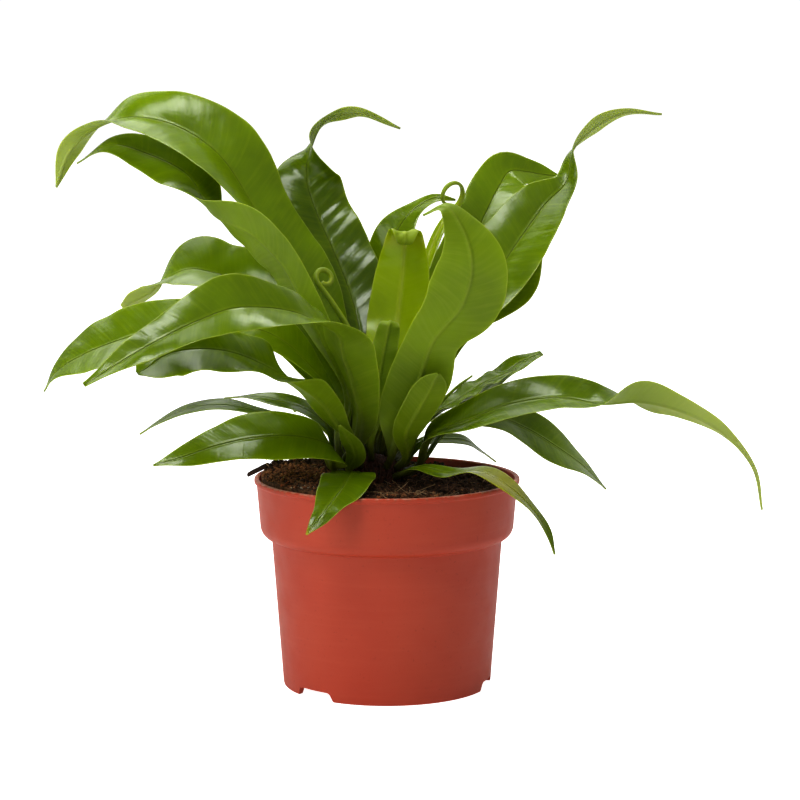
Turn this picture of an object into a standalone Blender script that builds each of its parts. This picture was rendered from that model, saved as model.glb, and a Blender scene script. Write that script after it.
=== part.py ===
"""Potted spleenwort: a bird's nest fern in a plastic nursery pot.

The pot stands on z = 0 with its axis on Z, and the plant's front faces -Y. The driving dimensions
below are in millimetres, and the meshes are made in metres.
"""

import math
from collections import namedtuple

import bmesh
import bpy
import numpy as np

MM = 0.001
GAP = 0.35
TINY = 0.05

# Nursery pot: a tapered body under a wider rim band, on a notched foot
POT_HEIGHT = 94.6
LIP_RADIUS = 60.0
LIP_HEIGHT = 2.0
BAND_TOP_RADIUS = 59.0
BAND_FOOT_RADIUS = 57.4
BAND_FOOT_Z = 73.2
BODY_TOP_RADIUS = 52.2
BODY_TOP_Z = 67.2
SHOULDER_TURNS = (0, 30, 60, 90)
FOOT_RADIUS = 47.2
WALL = 1.3
EDGE = 0.4
BASE_LIFT = 3.2
BASE_TOP_Z = 4.6
FOOT_WIDTH = 2.6
PAD_RADIUS = 16.0
PAD_SLOPE = 1.6
POT_SIDES = 48
NOTCH_BEARINGS = (226.5, 346.5, 106.5)
NOTCH_WIDTH = 18.0
NOTCH_HEIGHT = 4.0
NOTCH_REACH = 12.0
DRAIN_SIDES = 10
DRAIN_COUNT = 8
DRAIN_DIAMETER = 5.5
DRAIN_RING_RADIUS = 33.0

# Peat: heaped on the left, low at the back right, with a plain hole for the crown
PEAT_LEVEL = 93.8
PEAT_SLOPE = -0.1
PEAT_CRUMB = 0.9
PEAT_DISH = 1.8
PEAT_DISH_WIDTH = 12.0
PEAT_INSET_Z = 87.6
PEAT_OVER_LIP = 1.0
PEAT_WALL_START = 47.0
PEAT_WALL_BLEND = 8.0
PEAT_SIDES = 48
PEAT_RINGS = 7

# Crown: the scaly heart of the rhizome, which every frond grows from
CROWN_CENTRE = (-6.0, 4.0, 92.0)
CROWN_RADIUS = 14.0
CROWN_RISE = 12.0
CROWN_ROOT_Z = 74.0
CROWN_SIDES = 32
SCALE_DEPTH = 0.6
SCALE_ELEVATIONS = (-8, 4, 16, 28, 40, 52, 64, 76)

# Bark: a long chip that leans out over the lip on the left
BARK_OUTLINE = (
    (-6.2, -0.6), (-3.4, -1.4), (1.6, -1.7), (5.0, -1.1), (5.6, 0.8), (2.0, 1.7), (-3.0, 1.4),
    (-6.0, 0.5))
BARK_PLACE = (-58.2, 13.0)
BARK_THICKNESS = 1.7
BARK_BULGE = 0.4
BARK_TAPER = 0.82
BARK_RISE = 27.0

# Fronds
BLADE = 0.8
STIPE_WIDTH = 3.0
STIPE_THICKNESS = 2.8
TIP_WIDTH = 0.9
FIRST_RUN = 5.0
COLUMNS = (-1.0, -0.42, 0.0, 0.42, 1.0)
ROW_SPACING = 11.0
CURL_ROWS = 10
CURL_TIGHTENING = 0.45

# A frond leaves the crown at root = (bearing, elevation) in degrees, bearing 0 being +X and 270 the
# front. Its midrib then passes through path = (x, y, z, turn, width), where turn in degrees raises
# the edge on the clockwise side, as seen from above, and width is the blade's full width there. cup
# is the angle by which each half rises from the midrib. wave = (height, count, phase) is the ruffle
# of the edges, curl = (radius, turns) rolls up the tip towards the upper side, and stem is the least
# thickness along the midrib.
Frond = namedtuple(
    "Frond", "name root path cup wave curl age stem", defaults=(None, "grown", 0.0))

FRONDS = (
    Frond(
        "frond_high_arch", (172, 62),
        ((-15,12,128,15,8), (-26,20,150,32,22), (-40,29,177,38,38), (-62.5,40,215,30,40),
         (-80,47.5,239.5,50,41), (-107,54,253.5,56,33), (-122,57,254.5,43,27),
         (-135.5,59,250,0,16), (-148.5,60,239,-42,12), (-155.5,61,222,-45,1)),
        cup=30, wave=(1.2, 3, 0.1)),
    Frond(
        "frond_second_arch", (176, 40),
        ((-18,3,129,-20,11), (-29,-1,157,-40,20), (-38,-2,175,-45,24), (-48,3,192,-45,28),
         (-60,9,203,-45,29), (-79,24,211.5,-10,25), (-93,39,229.5,42,28), (-110,48,237.5,42,25),
         (-129,53,242,40,15), (-145,56,233.5,20,1)),
        cup=6, wave=(1.0, 3, 0.4)),
    Frond(
        "frond_folded_tip", (128, 66),
        ((-9,21,128,10,11), (-12,32,153,20,24), (-16,42,170,25,32), (-25,53,192,28,35),
         (-34,62,212,30,32), (-38,67,225,50,32), (-36,70,240.5,115,20), (-30,73,252,150,9),
         (-15,76,256.5,165,6), (6,80,249,165,1)),
        cup=16, wave=(1.0, 9, 0.0)),
    Frond(
        "frond_back_centre", (85, 60),
        ((-1,23,127,10,7), (-1,42,158,20,21), (0,55,185,30,26), (5,58,202.5,30,20),
         (13,60,212,30,10), (23,62,217,20,5), (32,64,216,10,1)),
        cup=10, wave=(0.8, 4, 0.2)),
    Frond(
        "frond_ring_tip", (52, 66),
        ((0,14,121,0,4), (6,26,154,0,8), (18,38,187,0,7), (27.5,46,208,0,5), (33,48,214.5,0,4)),
        cup=10, wave=(0.3, 3, 0.2), curl=(7.6, 0.85), age="young", stem=1.4),
    Frond(
        "frond_young_bright", (110, 86),
        ((-5.5,-1.5,116,8,7), (0.6,-3.5,134,25,17), (3.5,4,151,30,26), (5,12.5,167,30,27.5),
         (7.5,17,190,30,23), (8,15,202,30,17)),
        cup=-8, wave=(0.8, 5, 0.0), curl=(3.6, 0.9), age="young"),
    Frond(
        "frond_young_crinkled", (262, 62),
        ((-8,-8,112,0,5), (-5,-10,131,0,12), (-2,-11,149,0,13), (1,-11,164,0,10)),
        cup=20, wave=(0.8, 6, 0.3), curl=(2.6, 0.8), age="young"),
    Frond(
        "frond_broad_right", (300, 40),
        ((7,-15,123,20,22), (14.3,-24,141,28,28), (20.5,-34,160,28,24), (33.5,-42,178,30,34),
         (36.5,-46,198,30,28), (32.5,-44,210,20,17), (25,-40,219,0,8), (16,-36,215,0,1)),
        cup=8, wave=(1.0, 3, 0.6)),
    Frond(
        "frond_short_round", (326, 34),
        ((9,-20,118,40,13), (15,-27,130,40,16), (19,-31,138,40,15), (21.5,-34,143.5,40,9),
         (22.5,-35,146,40,2)),
        cup=12, wave=(0.3, 2, 0.0)),
    Frond(
        "frond_front_fold", (238, 42),
        ((-12, -13, 124, 18, 18), (-15, -21, 139, 18, 27), (-19, -30, 153, 15, 33),
         (-21, -37, 163, 15, 34), (-29, -44, 169, 22, 28), (-39, -51, 174, 48, 26),
         (-52, -59, 177, 52, 30), (-66, -65, 177, 58, 30), (-78, -69, 173, 60, 26),
         (-99, -76, 163, 52, 17), (-126, -84, 147, 40, 3)),
        cup=22, wave=(1.4, 4, 0.3)),
    Frond(
        "frond_left_middle", (196, 40),
        ((-23,-4,128,20,12), (-34,-6,145,30,21), (-50,-6,159,40,29), (-68,-5,164,46,33),
         (-84,-4,165,47,32), (-102,-2,162,48,35), (-120,0,156.5,50,38), (-137,2,149.5,50,31),
         (-150,3,141,40,11), (-155,4,133,20,3)),
        cup=10, wave=(1.2, 3, 0.8)),
    Frond(
        "frond_left_upper", (148, 42),
        ((-19,15,118,10,7), (-31,23,138,30,22), (-48,34,162,36,35), (-64,44,176,34,41),
         (-79.5,50,182,26,37), (-94,56,183.5,24,40), (-106,61,177.5,14,23),
         (-113,65,171.5,-18,14), (-119.5,67,168,-30,12), (-126,69,164.5,-40,4)),
        cup=26, wave=(1.0, 3, 0.5)),
    Frond(
        "frond_left_lower", (216, 36),
        ((-15,-14,110,-10,5), (-22,-20,121,-22,11), (-30,-30,133.5,-22,19), (-41,-40,143,5,26),
         (-54,-48,151.5,36,30), (-67,-55,157.5,38,32), (-80,-61,159.5,44,33),
         (-94,-66,157.2,42,31), (-101.5,-69,152,30,20), (-105,-70,150,20,4)),
        cup=18, wave=(1.6, 5, 0.1)),
    Frond(
        "frond_thin_left", (180, 18),
        ((-30,2,113,10,6), (-44,4,119,14,8), (-60,6,123.5,18,9), (-74,8,126,22,14),
         (-92,10,123.5,20,13), (-106,12,116.5,14,6), (-113,13,112,10,1)),
        cup=6, wave=(0.4, 2, 0.0)),
    Frond(
        "frond_thin_left_back", (156, 18),
        ((-26,12,114,10,9), (-36,18,122,15,13), (-49,27,125.5,20,14), (-64,34,126.5,20,7),
         (-76,40,125,10,1)),
        cup=6, wave=(0.4, 2, 0.5)),
    Frond(
        "frond_low_left", (206, 18),
        ((-25,-20,111.5,20,25), (-38,-29,117,28,29), (-57,-38,118,30,27), (-74,-46,115.5,28,20),
         (-89,-52,111.2,26,10), (-100,-58,109,20,1)),
        cup=4, wave=(0.6, 3, 0.2)),
    Frond(
        "frond_over_rim_front", (254, 18),
        ((-15.5,-34,101,0,22), (-19,-52,98,0,22), (-25.5,-64,91,0,13), (-34,-70,81,0,1)),
        cup=4, wave=(0.8, 4, 0.1)),
    Frond(
        "frond_small_front", (232, 22),
        ((-14, -17, 107, 0, 10), (-17, -22, 115, 0, 9), (-21, -26, 122, 0, 1)),
        cup=10, wave=(0.3, 2, 0.0)),
    Frond(
        "frond_long_right", (348, 18),
        ((20,-7,114,-20,14), (37,-12,122,-36,19), (56,-17,130,-42,22), (78,-21,133,-28,25),
         (94,-24,131,-8,27), (112,-26,132,34,31), (129,-28,128.3,42,17), (148.5,-30,118.2,38,10),
         (161.5,-31,103,25,6), (165.5,-32,85,20,1)),
        cup=22, wave=(0.6, 3, 0.7)),
    Frond(
        "frond_right_lower", (12, 18),
        ((29,10,116,-20,9), (50,18,119,-40,18), (64,23,113,-45,25), (78,27,104,-42,27),
         (90,31,95,-35,18), (102,34,83,-25,1)),
        cup=5, wave=(0.5, 3, 0.3)),
    Frond(
        "frond_small_right_back", (42, 18),
        ((15,17,107,-10,6), (27,24,108,-15,8), (37,31,106,-15,8), (43,38,101,-15,6),
         (51,46,94,-10,1)),
        cup=6, wave=(0.3, 2, 0.0)),
    Frond(
        "frond_over_rim_right", (314, 18),
        ((14,-21,102,-12,6), (28,-31,101,-8,13), (41,-38,103,0,17), (53,-44,97.5,0,14),
         (63.5,-48,88,0,9), (70.5,-51,77.5,0,5), (73,-53,69,0,1)),
        cup=6, wave=(0.5, 3, 0.5)),
    Frond(
        "frond_finger_back", (28, 38),
        ((20,10,120,0,6), (36.5,14,129.5,-10,10), (48,17,135.5,-10,12), (60,20,143.5,-10,11),
         (71,23,148,-10,4)),
        cup=14, wave=(0.5, 5, 0.0)),
    Frond(
        "frond_finger_crinkled", (4, 40),
        ((17,4,119,0,11), (31.5,6,128.5,-15,15), (43,8,135.5,-15,14), (52,9,139.5,-15,10),
         (58.5,10,142,-15,1)),
        cup=14, wave=(0.9, 6, 0.2)),
    Frond(
        "frond_finger_front", (342, 38),
        ((17,-6,122,0,8), (25,-8,130,0,10), (32,-10,137,0,8), (38,-12,142,0,2)),
        cup=10, wave=(0.3, 3, 0.0)),
    Frond(
        "frond_tall_right", (20, 64),
        ((8,9,120,-20,8), (18,14,143,-35,20), (35,22,168,-45,32), (52,29,187,-45,37),
         (63,35,202,-45,34), (73,41,215,-40,27), (83.5,47,225.5,-28,12), (86.5,52,240,25,11),
         (95,56,248.5,35,13), (111,62,256.5,40,5), (129,68,256,40,1)),
        cup=22, wave=(1.2, 3, 0.2)),
    Frond(
        "frond_tall_back", (62, 46),
        ((5,31,133,-10,13), (19,51,161,-20,21), (36,65,188,-28,26), (47,72,210,-28,26),
         (53,77,221.5,-27,26), (58.5,82,228.5,-27,22), (66.5,86,228,-30,16),
         (74.5,90,226.5,-30,12), (82,92,225.5,-30,3)),
        cup=16, wave=(1.0, 3, 0.5)),
    Frond(
        "frond_tall_lower", (42, 34),
        ((13,21,122,-20,7), (23,29,142,-35,12), (36,40,163,-40,20), (54,49,180,-40,34),
         (64.5,55,196,-40,20), (75,60,210,-30,2)),
        cup=10, wave=(1.4, 4, 0.1)),
    Frond(
        "frond_crozier", (214, 70),
        ((-11, -1, 139, 0, 4), (-16, 0, 159, 0, 4), (-23, 2, 171, 0, 3), (-31, 3, 182, 0, 3)),
        cup=0, wave=(0.0, 1, 0.0), curl=(4.6, 0.98), age="young", stem=2.4),
    Frond(
        "frond_back_low_left", (130, 18),
        ((-22, 26, 110, 10, 14), (-33, 48, 120, 10, 22), (-40, 66, 120, 5, 16),
         (-45, 80, 113, 0, 1)),
        cup=8, wave=(0.8, 3, 0.0)),
    Frond(
        "frond_back_low", (102, 18),
        ((-10, 34, 118, 0, 13), (-16, 62, 142, 0, 27), (-20, 92, 152, 0, 29),
         (-22, 122, 142, 0, 17), (-23, 138, 130, 0, 1)),
        cup=10, wave=(1.0, 3, 0.4)),
    Frond(
        "frond_back_low_right", (66, 18),
        ((6, 28, 108, 0, 11), (14, 52, 114, -5, 23), (20, 76, 112, -5, 20), (25, 96, 104, 0, 1)),
        cup=8, wave=(0.8, 3, 0.6)),
    Frond(
        "frond_back_middle", (84, 38),
        ((-1, 34, 128, 0, 15), (-1, 64, 166, 0, 32), (1, 94, 184, 0, 32), (6, 122, 178, 0, 20),
         (10, 142, 163, 0, 1)),
        cup=10, wave=(1.2, 3, 0.1)),
    Frond(
        "frond_back_left", (116, 38),
        ((-24, 34, 136, 0, 16), (-40, 62, 166, 5, 28), (-50, 92, 180, 5, 29),
         (-57, 116, 172, 5, 20), (-60, 130, 160, 0, 1)),
        cup=10, wave=(1.2, 3, 0.7)),
)


def clear_scene():
    for thing in list(bpy.data.objects):
        bpy.data.objects.remove(thing)


def material(name, colour, roughness, metallic=0.0):
    made = bpy.data.materials.new(name)
    made.use_nodes = True
    shader = made.node_tree.nodes["Principled BSDF"]
    shader.inputs["Base Color"].default_value = (*colour, 1.0)
    shader.inputs["Roughness"].default_value = roughness
    shader.inputs["Metallic"].default_value = metallic
    return made


def add_object(name, mesh, finish):
    thing = bpy.data.objects.new(name, mesh)
    thing.data.materials.append(finish)
    bpy.context.scene.collection.objects.link(thing)
    return thing


def mesh_from(name, points, faces):
    """A mesh of points in millimetres, with its normals made to agree and face out."""
    mesh = bpy.data.meshes.new(name)
    mesh.from_pydata([tuple(point * MM) for point in np.asarray(points, float)], [], faces)
    shape = bmesh.new()
    shape.from_mesh(mesh)
    bmesh.ops.recalc_face_normals(shape, faces=shape.faces)
    shape.to_mesh(mesh)
    shape.free()
    return mesh


def skin(name, rings, start, end):
    """A closed solid through rings of points of equal count, with a middle point at each end."""
    count = len(rings[0])
    points = [start]
    faces = []
    for ring in rings:
        points.extend(ring)
    points.append(end)
    for step in range(count):
        after = (step + 1) % count
        faces.append((0, 1 + after, 1 + step))
        for level in range(len(rings) - 1):
            low = 1 + level * count
            high = low + count
            faces.append((low + step, low + after, high + after, high + step))
        last = 1 + (len(rings) - 1) * count
        faces.append((last + step, last + after, len(points) - 1))
    return mesh_from(name, points, faces)


def circle(radius, z, count, centre=(0.0, 0.0)):
    angles = np.arange(count) * 2 * math.pi / count
    return np.column_stack([
        centre[0] + radius * np.cos(angles),
        centre[1] + radius * np.sin(angles),
        np.full(count, z),
    ])


def cut(thing, cutter):
    """Takes the cutter's shape out of the thing for good, and removes the cutter."""
    change = thing.modifiers.new("cut", "BOOLEAN")
    change.object = cutter
    change.operation = "DIFFERENCE"
    change.solver = "EXACT"
    bpy.context.view_layer.objects.active = thing
    bpy.ops.object.modifier_apply(modifier=change.name)
    bpy.data.objects.remove(cutter)


# Pot


def pot_inner_radius(z):
    """The inside of the wall at height z, from the base to the lip."""
    if z < BODY_TOP_Z:
        share = (z - BASE_TOP_Z) / (BODY_TOP_Z - BASE_TOP_Z)
        return FOOT_RADIUS - WALL + share * (BODY_TOP_RADIUS - FOOT_RADIUS)
    share = (z - BAND_FOOT_Z) / (POT_HEIGHT - BAND_FOOT_Z)
    return BAND_FOOT_RADIUS - WALL + share * (BAND_TOP_RADIUS - BAND_FOOT_RADIUS)


def shoulder(inset):
    """The rounded underside of the rim band, from the body out to the band's foot."""
    turns = np.radians(SHOULDER_TURNS)
    reach = BAND_FOOT_RADIUS - BODY_TOP_RADIUS - EDGE - inset
    rise = BAND_FOOT_Z - BODY_TOP_Z - EDGE
    radii = BODY_TOP_RADIUS + EDGE + reach * np.sin(turns)
    heights = BODY_TOP_Z + EDGE + rise * (1 - np.cos(turns)) + inset * np.cos(turns)
    return list(zip(radii, heights))


def pot_profile():
    """Radius and height from the middle of the underside, out and up to the lip, and back inside."""
    foot_inner = FOOT_RADIUS - FOOT_WIDTH
    outside = [
        (PAD_RADIUS, 0.0),
        (PAD_RADIUS + PAD_SLOPE, BASE_LIFT),
        (foot_inner - EDGE, BASE_LIFT),
        (foot_inner, 0.0),
        (FOOT_RADIUS - 2 * EDGE, 0.0),
        (FOOT_RADIUS, 2 * EDGE),
        (BODY_TOP_RADIUS, BODY_TOP_Z),
        *shoulder(0),
        (BAND_TOP_RADIUS, POT_HEIGHT - LIP_HEIGHT - EDGE),
        (LIP_RADIUS, POT_HEIGHT - LIP_HEIGHT),
        (LIP_RADIUS, POT_HEIGHT - EDGE),
        (LIP_RADIUS - EDGE, POT_HEIGHT),
    ]
    inside = [
        (BAND_TOP_RADIUS - WALL, POT_HEIGHT),
        *reversed(shoulder(WALL)),
        (BODY_TOP_RADIUS - EDGE, BODY_TOP_Z + WALL + EDGE),
        (BODY_TOP_RADIUS - WALL, BODY_TOP_Z + 2 * EDGE),
        (FOOT_RADIUS - WALL, BASE_TOP_Z),
        (PAD_RADIUS + EDGE, BASE_TOP_Z),
        (PAD_RADIUS + EDGE - PAD_SLOPE, BASE_TOP_Z - BASE_LIFT),
    ]
    return outside + inside


def notch_cutter(bearing):
    """A block that takes one slot out of the foot ring."""
    bpy.ops.mesh.primitive_cube_add(size=1.0)
    block = bpy.context.object
    block.dimensions = (NOTCH_REACH * MM, NOTCH_WIDTH * MM, 2 * NOTCH_HEIGHT * MM)
    turn = math.radians(bearing)
    reach = FOOT_RADIUS * MM
    block.location = (reach * math.cos(turn), reach * math.sin(turn), 0)
    block.rotation_euler = (0, 0, turn)
    return block


def drain_cutter(bearing):
    bpy.ops.mesh.primitive_cylinder_add(
        vertices=DRAIN_SIDES, radius=DRAIN_DIAMETER / 2 * MM, depth=4 * BASE_TOP_Z * MM)
    drill = bpy.context.object
    drill.location = (
        DRAIN_RING_RADIUS * MM * math.cos(bearing), DRAIN_RING_RADIUS * MM * math.sin(bearing), 0)
    return drill


def make_pot():
    rings = [circle(radius, z, POT_SIDES) for radius, z in pot_profile()]
    mesh = skin("pot", rings, np.zeros(3), np.array([0, 0, BASE_TOP_Z - BASE_LIFT]))
    pot = add_object("pot", mesh, material("terracotta plastic", (0.42, 0.05, 0.022), 0.42))
    for bearing in NOTCH_BEARINGS:
        cut(pot, notch_cutter(bearing))
    for hole in range(DRAIN_COUNT):
        cut(pot, drain_cutter((hole + 0.5) * 2 * math.pi / DRAIN_COUNT))
    pot.data.shade_smooth()
    pot.data.set_sharp_from_angle(angle=math.radians(35))


# Peat


def crumb(x, y):
    """Lumps of two sizes, between about -1 and 1."""
    coarse = np.sin(0.31 * x + 1.9 * np.sin(0.17 * y)) * np.sin(0.29 * y + 1.7 * np.sin(0.19 * x))
    fine = np.sin(0.83 * x + 0.5 * y + 2.0) * np.sin(0.77 * y - 0.4 * x + 1.0)
    return 0.6 * coarse + 0.4 * fine


def peat_top(x, y):
    """Height of the peat, which falls towards the lip at the wall."""
    level = PEAT_LEVEL + PEAT_SLOPE * x
    at_wall = POT_HEIGHT + PEAT_OVER_LIP
    near_wall = np.clip((np.hypot(x, y) - PEAT_WALL_START) / PEAT_WALL_BLEND, 0, 1)
    level = level - np.clip(level - at_wall, 0, None) * near_wall**1.5
    from_crown = np.hypot(x - CROWN_CENTRE[0], y - CROWN_CENTRE[1]) - CROWN_RADIUS
    level = level - PEAT_DISH * np.exp(-(from_crown / PEAT_DISH_WIDTH) ** 2)
    return level + PEAT_CRUMB * crumb(x, y) * (1 - 0.8 * near_wall)


def make_peat():
    floor = BASE_TOP_Z + GAP
    wall = GAP + TINY
    rings = [
        circle(pot_inner_radius(floor) - wall, floor, PEAT_SIDES),
        circle(pot_inner_radius(BODY_TOP_Z - EDGE) - wall, BODY_TOP_Z - EDGE, PEAT_SIDES),
        circle(BODY_TOP_RADIUS - WALL - wall, BODY_TOP_Z + 2 * WALL, PEAT_SIDES),
        circle(BAND_FOOT_RADIUS - 2 * WALL - wall, BAND_FOOT_Z - WALL, PEAT_SIDES),
        circle(BAND_FOOT_RADIUS - WALL - wall, BAND_FOOT_Z + WALL + EDGE, PEAT_SIDES),
    ]
    outer = circle(pot_inner_radius(PEAT_INSET_Z) - wall, 0, PEAT_SIDES)
    hole_radius = CROWN_RADIUS + GAP
    inner = circle(hole_radius, 0, PEAT_SIDES, CROWN_CENTRE)
    for share in np.linspace(0, 1, PEAT_RINGS + 1):
        ring = outer + (inner - outer) * share
        ring[:, 2] = peat_top(ring[:, 0], ring[:, 1])
        rings.append(ring)
    rings.append(circle(hole_radius, CROWN_ROOT_Z - GAP, PEAT_SIDES, CROWN_CENTRE))
    middle = np.array([*CROWN_CENTRE[:2], CROWN_ROOT_Z - GAP])
    mesh = skin("peat", rings, np.array([0, 0, floor]), middle)
    add_object("peat", mesh, material("moist peat", (0.035, 0.018, 0.008), 0.95))


# Crown


def make_crown():
    """A dome with rows of overlapping scales in low relief, on a round stump in the peat."""
    centre = np.array(CROWN_CENTRE)
    rings = [circle(CROWN_RADIUS - SCALE_DEPTH, CROWN_ROOT_Z, CROWN_SIDES, centre)]
    for row, elevation in enumerate(np.radians(SCALE_ELEVATIONS)):
        ring = circle(1.0, 0.0, CROWN_SIDES)
        scale = 0.5 + 0.5 * np.cos(np.arange(CROWN_SIDES) * math.pi + row * math.pi)
        reach = 1 - SCALE_DEPTH / CROWN_RADIUS * scale
        ring[:, 0] *= CROWN_RADIUS * math.cos(elevation) * reach
        ring[:, 1] *= CROWN_RADIUS * math.cos(elevation) * reach
        ring[:, 2] = CROWN_RISE * math.sin(elevation) * reach
        rings.append(ring + centre)
    mesh = skin(
        "rhizome_crown", rings, centre * (1, 1, 0) + (0, 0, CROWN_ROOT_Z), centre + (0, 0, CROWN_RISE))
    add_object("rhizome_crown", mesh, material("brown rhizome scales", (0.06, 0.025, 0.01), 0.8))


def make_bark():
    lower = np.array([(x, y, 0.0) for x, y in BARK_OUTLINE])
    upper = lower * BARK_TAPER + (0, 0, BARK_THICKNESS)
    rise = math.radians(BARK_RISE)
    lean = np.array([[math.cos(rise), 0, math.sin(rise)], [0, 1, 0], [-math.sin(rise), 0, math.cos(rise)]])
    seat = np.array([*BARK_PLACE, POT_HEIGHT + GAP / math.cos(rise)])
    top = seat + np.array([0, 0, BARK_THICKNESS + BARK_BULGE]) @ lean
    mesh = skin("bark_chip", [lower @ lean + seat, upper @ lean + seat], seat, top)
    add_object("bark_chip", mesh, material("bark", (0.09, 0.045, 0.02), 0.9))


# Fronds


def unit(vectors):
    return vectors / np.linalg.norm(vectors, axis=-1, keepdims=True)


def smooth_rows(knots, steps=12):
    """Rows on a smooth curve through the knots, whose first three numbers are a place."""
    knots = np.array(knots, float)
    span = np.linalg.norm(np.diff(knots[:, :3], axis=0), axis=1)[:, None]
    slope = np.diff(knots, axis=0) / span
    middle = (slope[:-1] * span[1:] + slope[1:] * span[:-1]) / (span[:-1] + span[1:])
    heading = np.vstack([slope[:1], middle, slope[-1:]])
    rows = []
    for i in range(len(span)):
        for t in np.arange(steps) / steps:
            rows.append(
                knots[i] * (1 + 2 * t) * (1 - t) ** 2
                + heading[i] * span[i] * t * (1 - t) ** 2
                + knots[i + 1] * t**2 * (3 - 2 * t)
                + heading[i + 1] * span[i] * t**2 * (t - 1)
            )
    rows.append(knots[-1])
    return np.array(rows)


def root_rows(frond):
    """Where the frond meets the crown, and a point straight out from there."""
    bearing, elevation = np.radians(frond.root)
    out = np.array([
        math.cos(elevation) * math.cos(bearing),
        math.cos(elevation) * math.sin(bearing),
        math.sin(elevation),
    ])
    foot = np.array(CROWN_CENTRE) + out * (CROWN_RADIUS, CROWN_RADIUS, CROWN_RISE)
    normal = unit(out / (CROWN_RADIUS, CROWN_RADIUS, CROWN_RISE))
    first = foot + normal * (GAP + TINY)
    return [(*first, 0.0, STIPE_WIDTH), (*(first + normal * FIRST_RUN), 0.0, STIPE_WIDTH)]


def frond_course(frond):
    """Rows along the midrib: share of its length, place, directions across and up, and half width."""
    rows = smooth_rows(root_rows(frond) + list(frond.path))
    places = rows[:, :3]
    along = unit(np.gradient(places, axis=0))
    bearing = math.radians(frond.root[0])
    across = np.array([math.sin(bearing), -math.cos(bearing), 0.0])
    sides = []
    for heading, turn in zip(along, np.radians(rows[:, 3])):
        across = unit(across - heading * (across @ heading))
        up = np.cross(across, heading)
        sides.append(across * math.cos(turn) + up * math.sin(turn))
    sides = np.array(sides)
    halves = np.maximum(rows[:, 4], TIP_WIDTH) / 2
    if frond.curl:
        radius, turns = frond.curl
        heading, side, place = along[-1], sides[-1], places[-1]
        steps = math.ceil(turns * 24)
        angle = 2 * math.pi * turns / steps
        more = []
        for step in range(steps):
            up = np.cross(side, heading)
            heading = unit(heading * math.cos(angle) + up * math.sin(angle))
            place = place + heading * angle * radius * (1 - CURL_TIGHTENING * step / steps)
            more.append(place)
        places = np.vstack([places, more])
        sides = np.vstack([sides, np.tile(side, (steps, 1))])
        halves = np.concatenate([halves, np.linspace(halves[-1], TIP_WIDTH, steps + 1)[1:]])
    reach = np.concatenate([[0], np.cumsum(np.linalg.norm(np.diff(places, axis=0), axis=1))])
    straight = reach[len(rows) - 1]
    at = np.linspace(0, straight, max(6, math.ceil(straight / ROW_SPACING)) + 1)
    if frond.curl:
        at = np.concatenate([at, np.linspace(straight, reach[-1], CURL_ROWS + 1)[1:]])
    places = np.column_stack([np.interp(at, reach, places[:, k]) for k in range(3)])
    sides = np.column_stack([np.interp(at, reach, sides[:, k]) for k in range(3)])
    halves = np.interp(at, reach, halves)
    along = unit(np.gradient(places, axis=0))
    sides = unit(sides - along * np.sum(sides * along, axis=1)[:, None])
    return at / reach[-1], places, sides, np.cross(sides, along), halves


def ruffle(frond, share, column):
    """How far the wave lifts a point; column runs from -1 at one edge to 1 at the other."""
    height, count, phase = frond.wave
    grown = np.clip((share - 0.15) / 0.3, 0, 1) * np.clip((1 - share) / 0.15, 0, 1)
    phase = phase + (0.37 if column > 0 else 0.0)
    return height * grown * abs(column) ** 1.7 * np.sin(2 * math.pi * (count * share + phase))


def thickness(share, column):
    rib = BLADE + (STIPE_THICKNESS - BLADE) * np.clip(1 - share / 0.45, 0, 1) ** 1.5
    rib = rib + 0.5 * (1 - share)
    return BLADE + (rib - BLADE) * max(0.0, 1 - abs(column) / 0.5)


def make_frond(frond, finishes):
    """The blade's middle surface, thickened most along its midrib."""
    share, places, sides, ups, half = frond_course(frond)
    cup = np.radians(frond.cup) * (1 - 0.5 * share)
    points = []
    thick = []
    for column in COLUMNS:
        out = half * column * np.cos(cup)
        lift = half * abs(column) * np.sin(cup) + ruffle(frond, share, column)
        points.append(places + sides * out[:, None] + ups * lift[:, None])
        thick.append(np.maximum(thickness(share, column), frond.stem * (1 - 0.6 * abs(column))))
    points = np.stack(points, axis=1)
    thick = np.stack(thick, axis=1)
    rows, columns = thick.shape
    faces = []
    for row in range(rows - 1):
        for column in range(columns - 1):
            a = row * columns + column
            b, c, d = a + 1, a + columns + 1, a + columns
            if column < columns // 2:
                faces += [(a, b, c), (a, c, d)]
            else:
                faces += [(a, b, d), (b, c, d)]
    mesh = bpy.data.meshes.new(frond.name)
    mesh.from_pydata([tuple(point) for point in points.reshape(-1, 3) * MM], [], faces)
    mesh.shade_smooth()
    leaf = add_object(frond.name, mesh, finishes[frond.age])
    group = leaf.vertex_groups.new(name="thickness")
    most = thick.max()
    for index, value in enumerate(thick.reshape(-1)):
        group.add([index], float(value / most), "REPLACE")
    solid = leaf.modifiers.new("thickness", "SOLIDIFY")
    solid.thickness = most * MM
    solid.offset = 0.0
    solid.vertex_group = group.name


def make_fronds():
    finishes = {
        "grown": material("grown frond", (0.11, 0.17, 0.004), 0.35),
        "young": material("young frond", (0.16, 0.24, 0.01), 0.4),
    }
    for frond in FRONDS:
        make_frond(frond, finishes)


clear_scene()
make_pot()
make_peat()
make_crown()
make_bark()
make_fronds()
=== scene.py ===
"""Potted spleenwort: the looks of a bird's nest fern in a plastic nursery pot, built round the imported
solids. Dimensions are in millimetres, in the same frame as the solids, and meshes are in metres."""

import math
from collections import namedtuple

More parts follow.
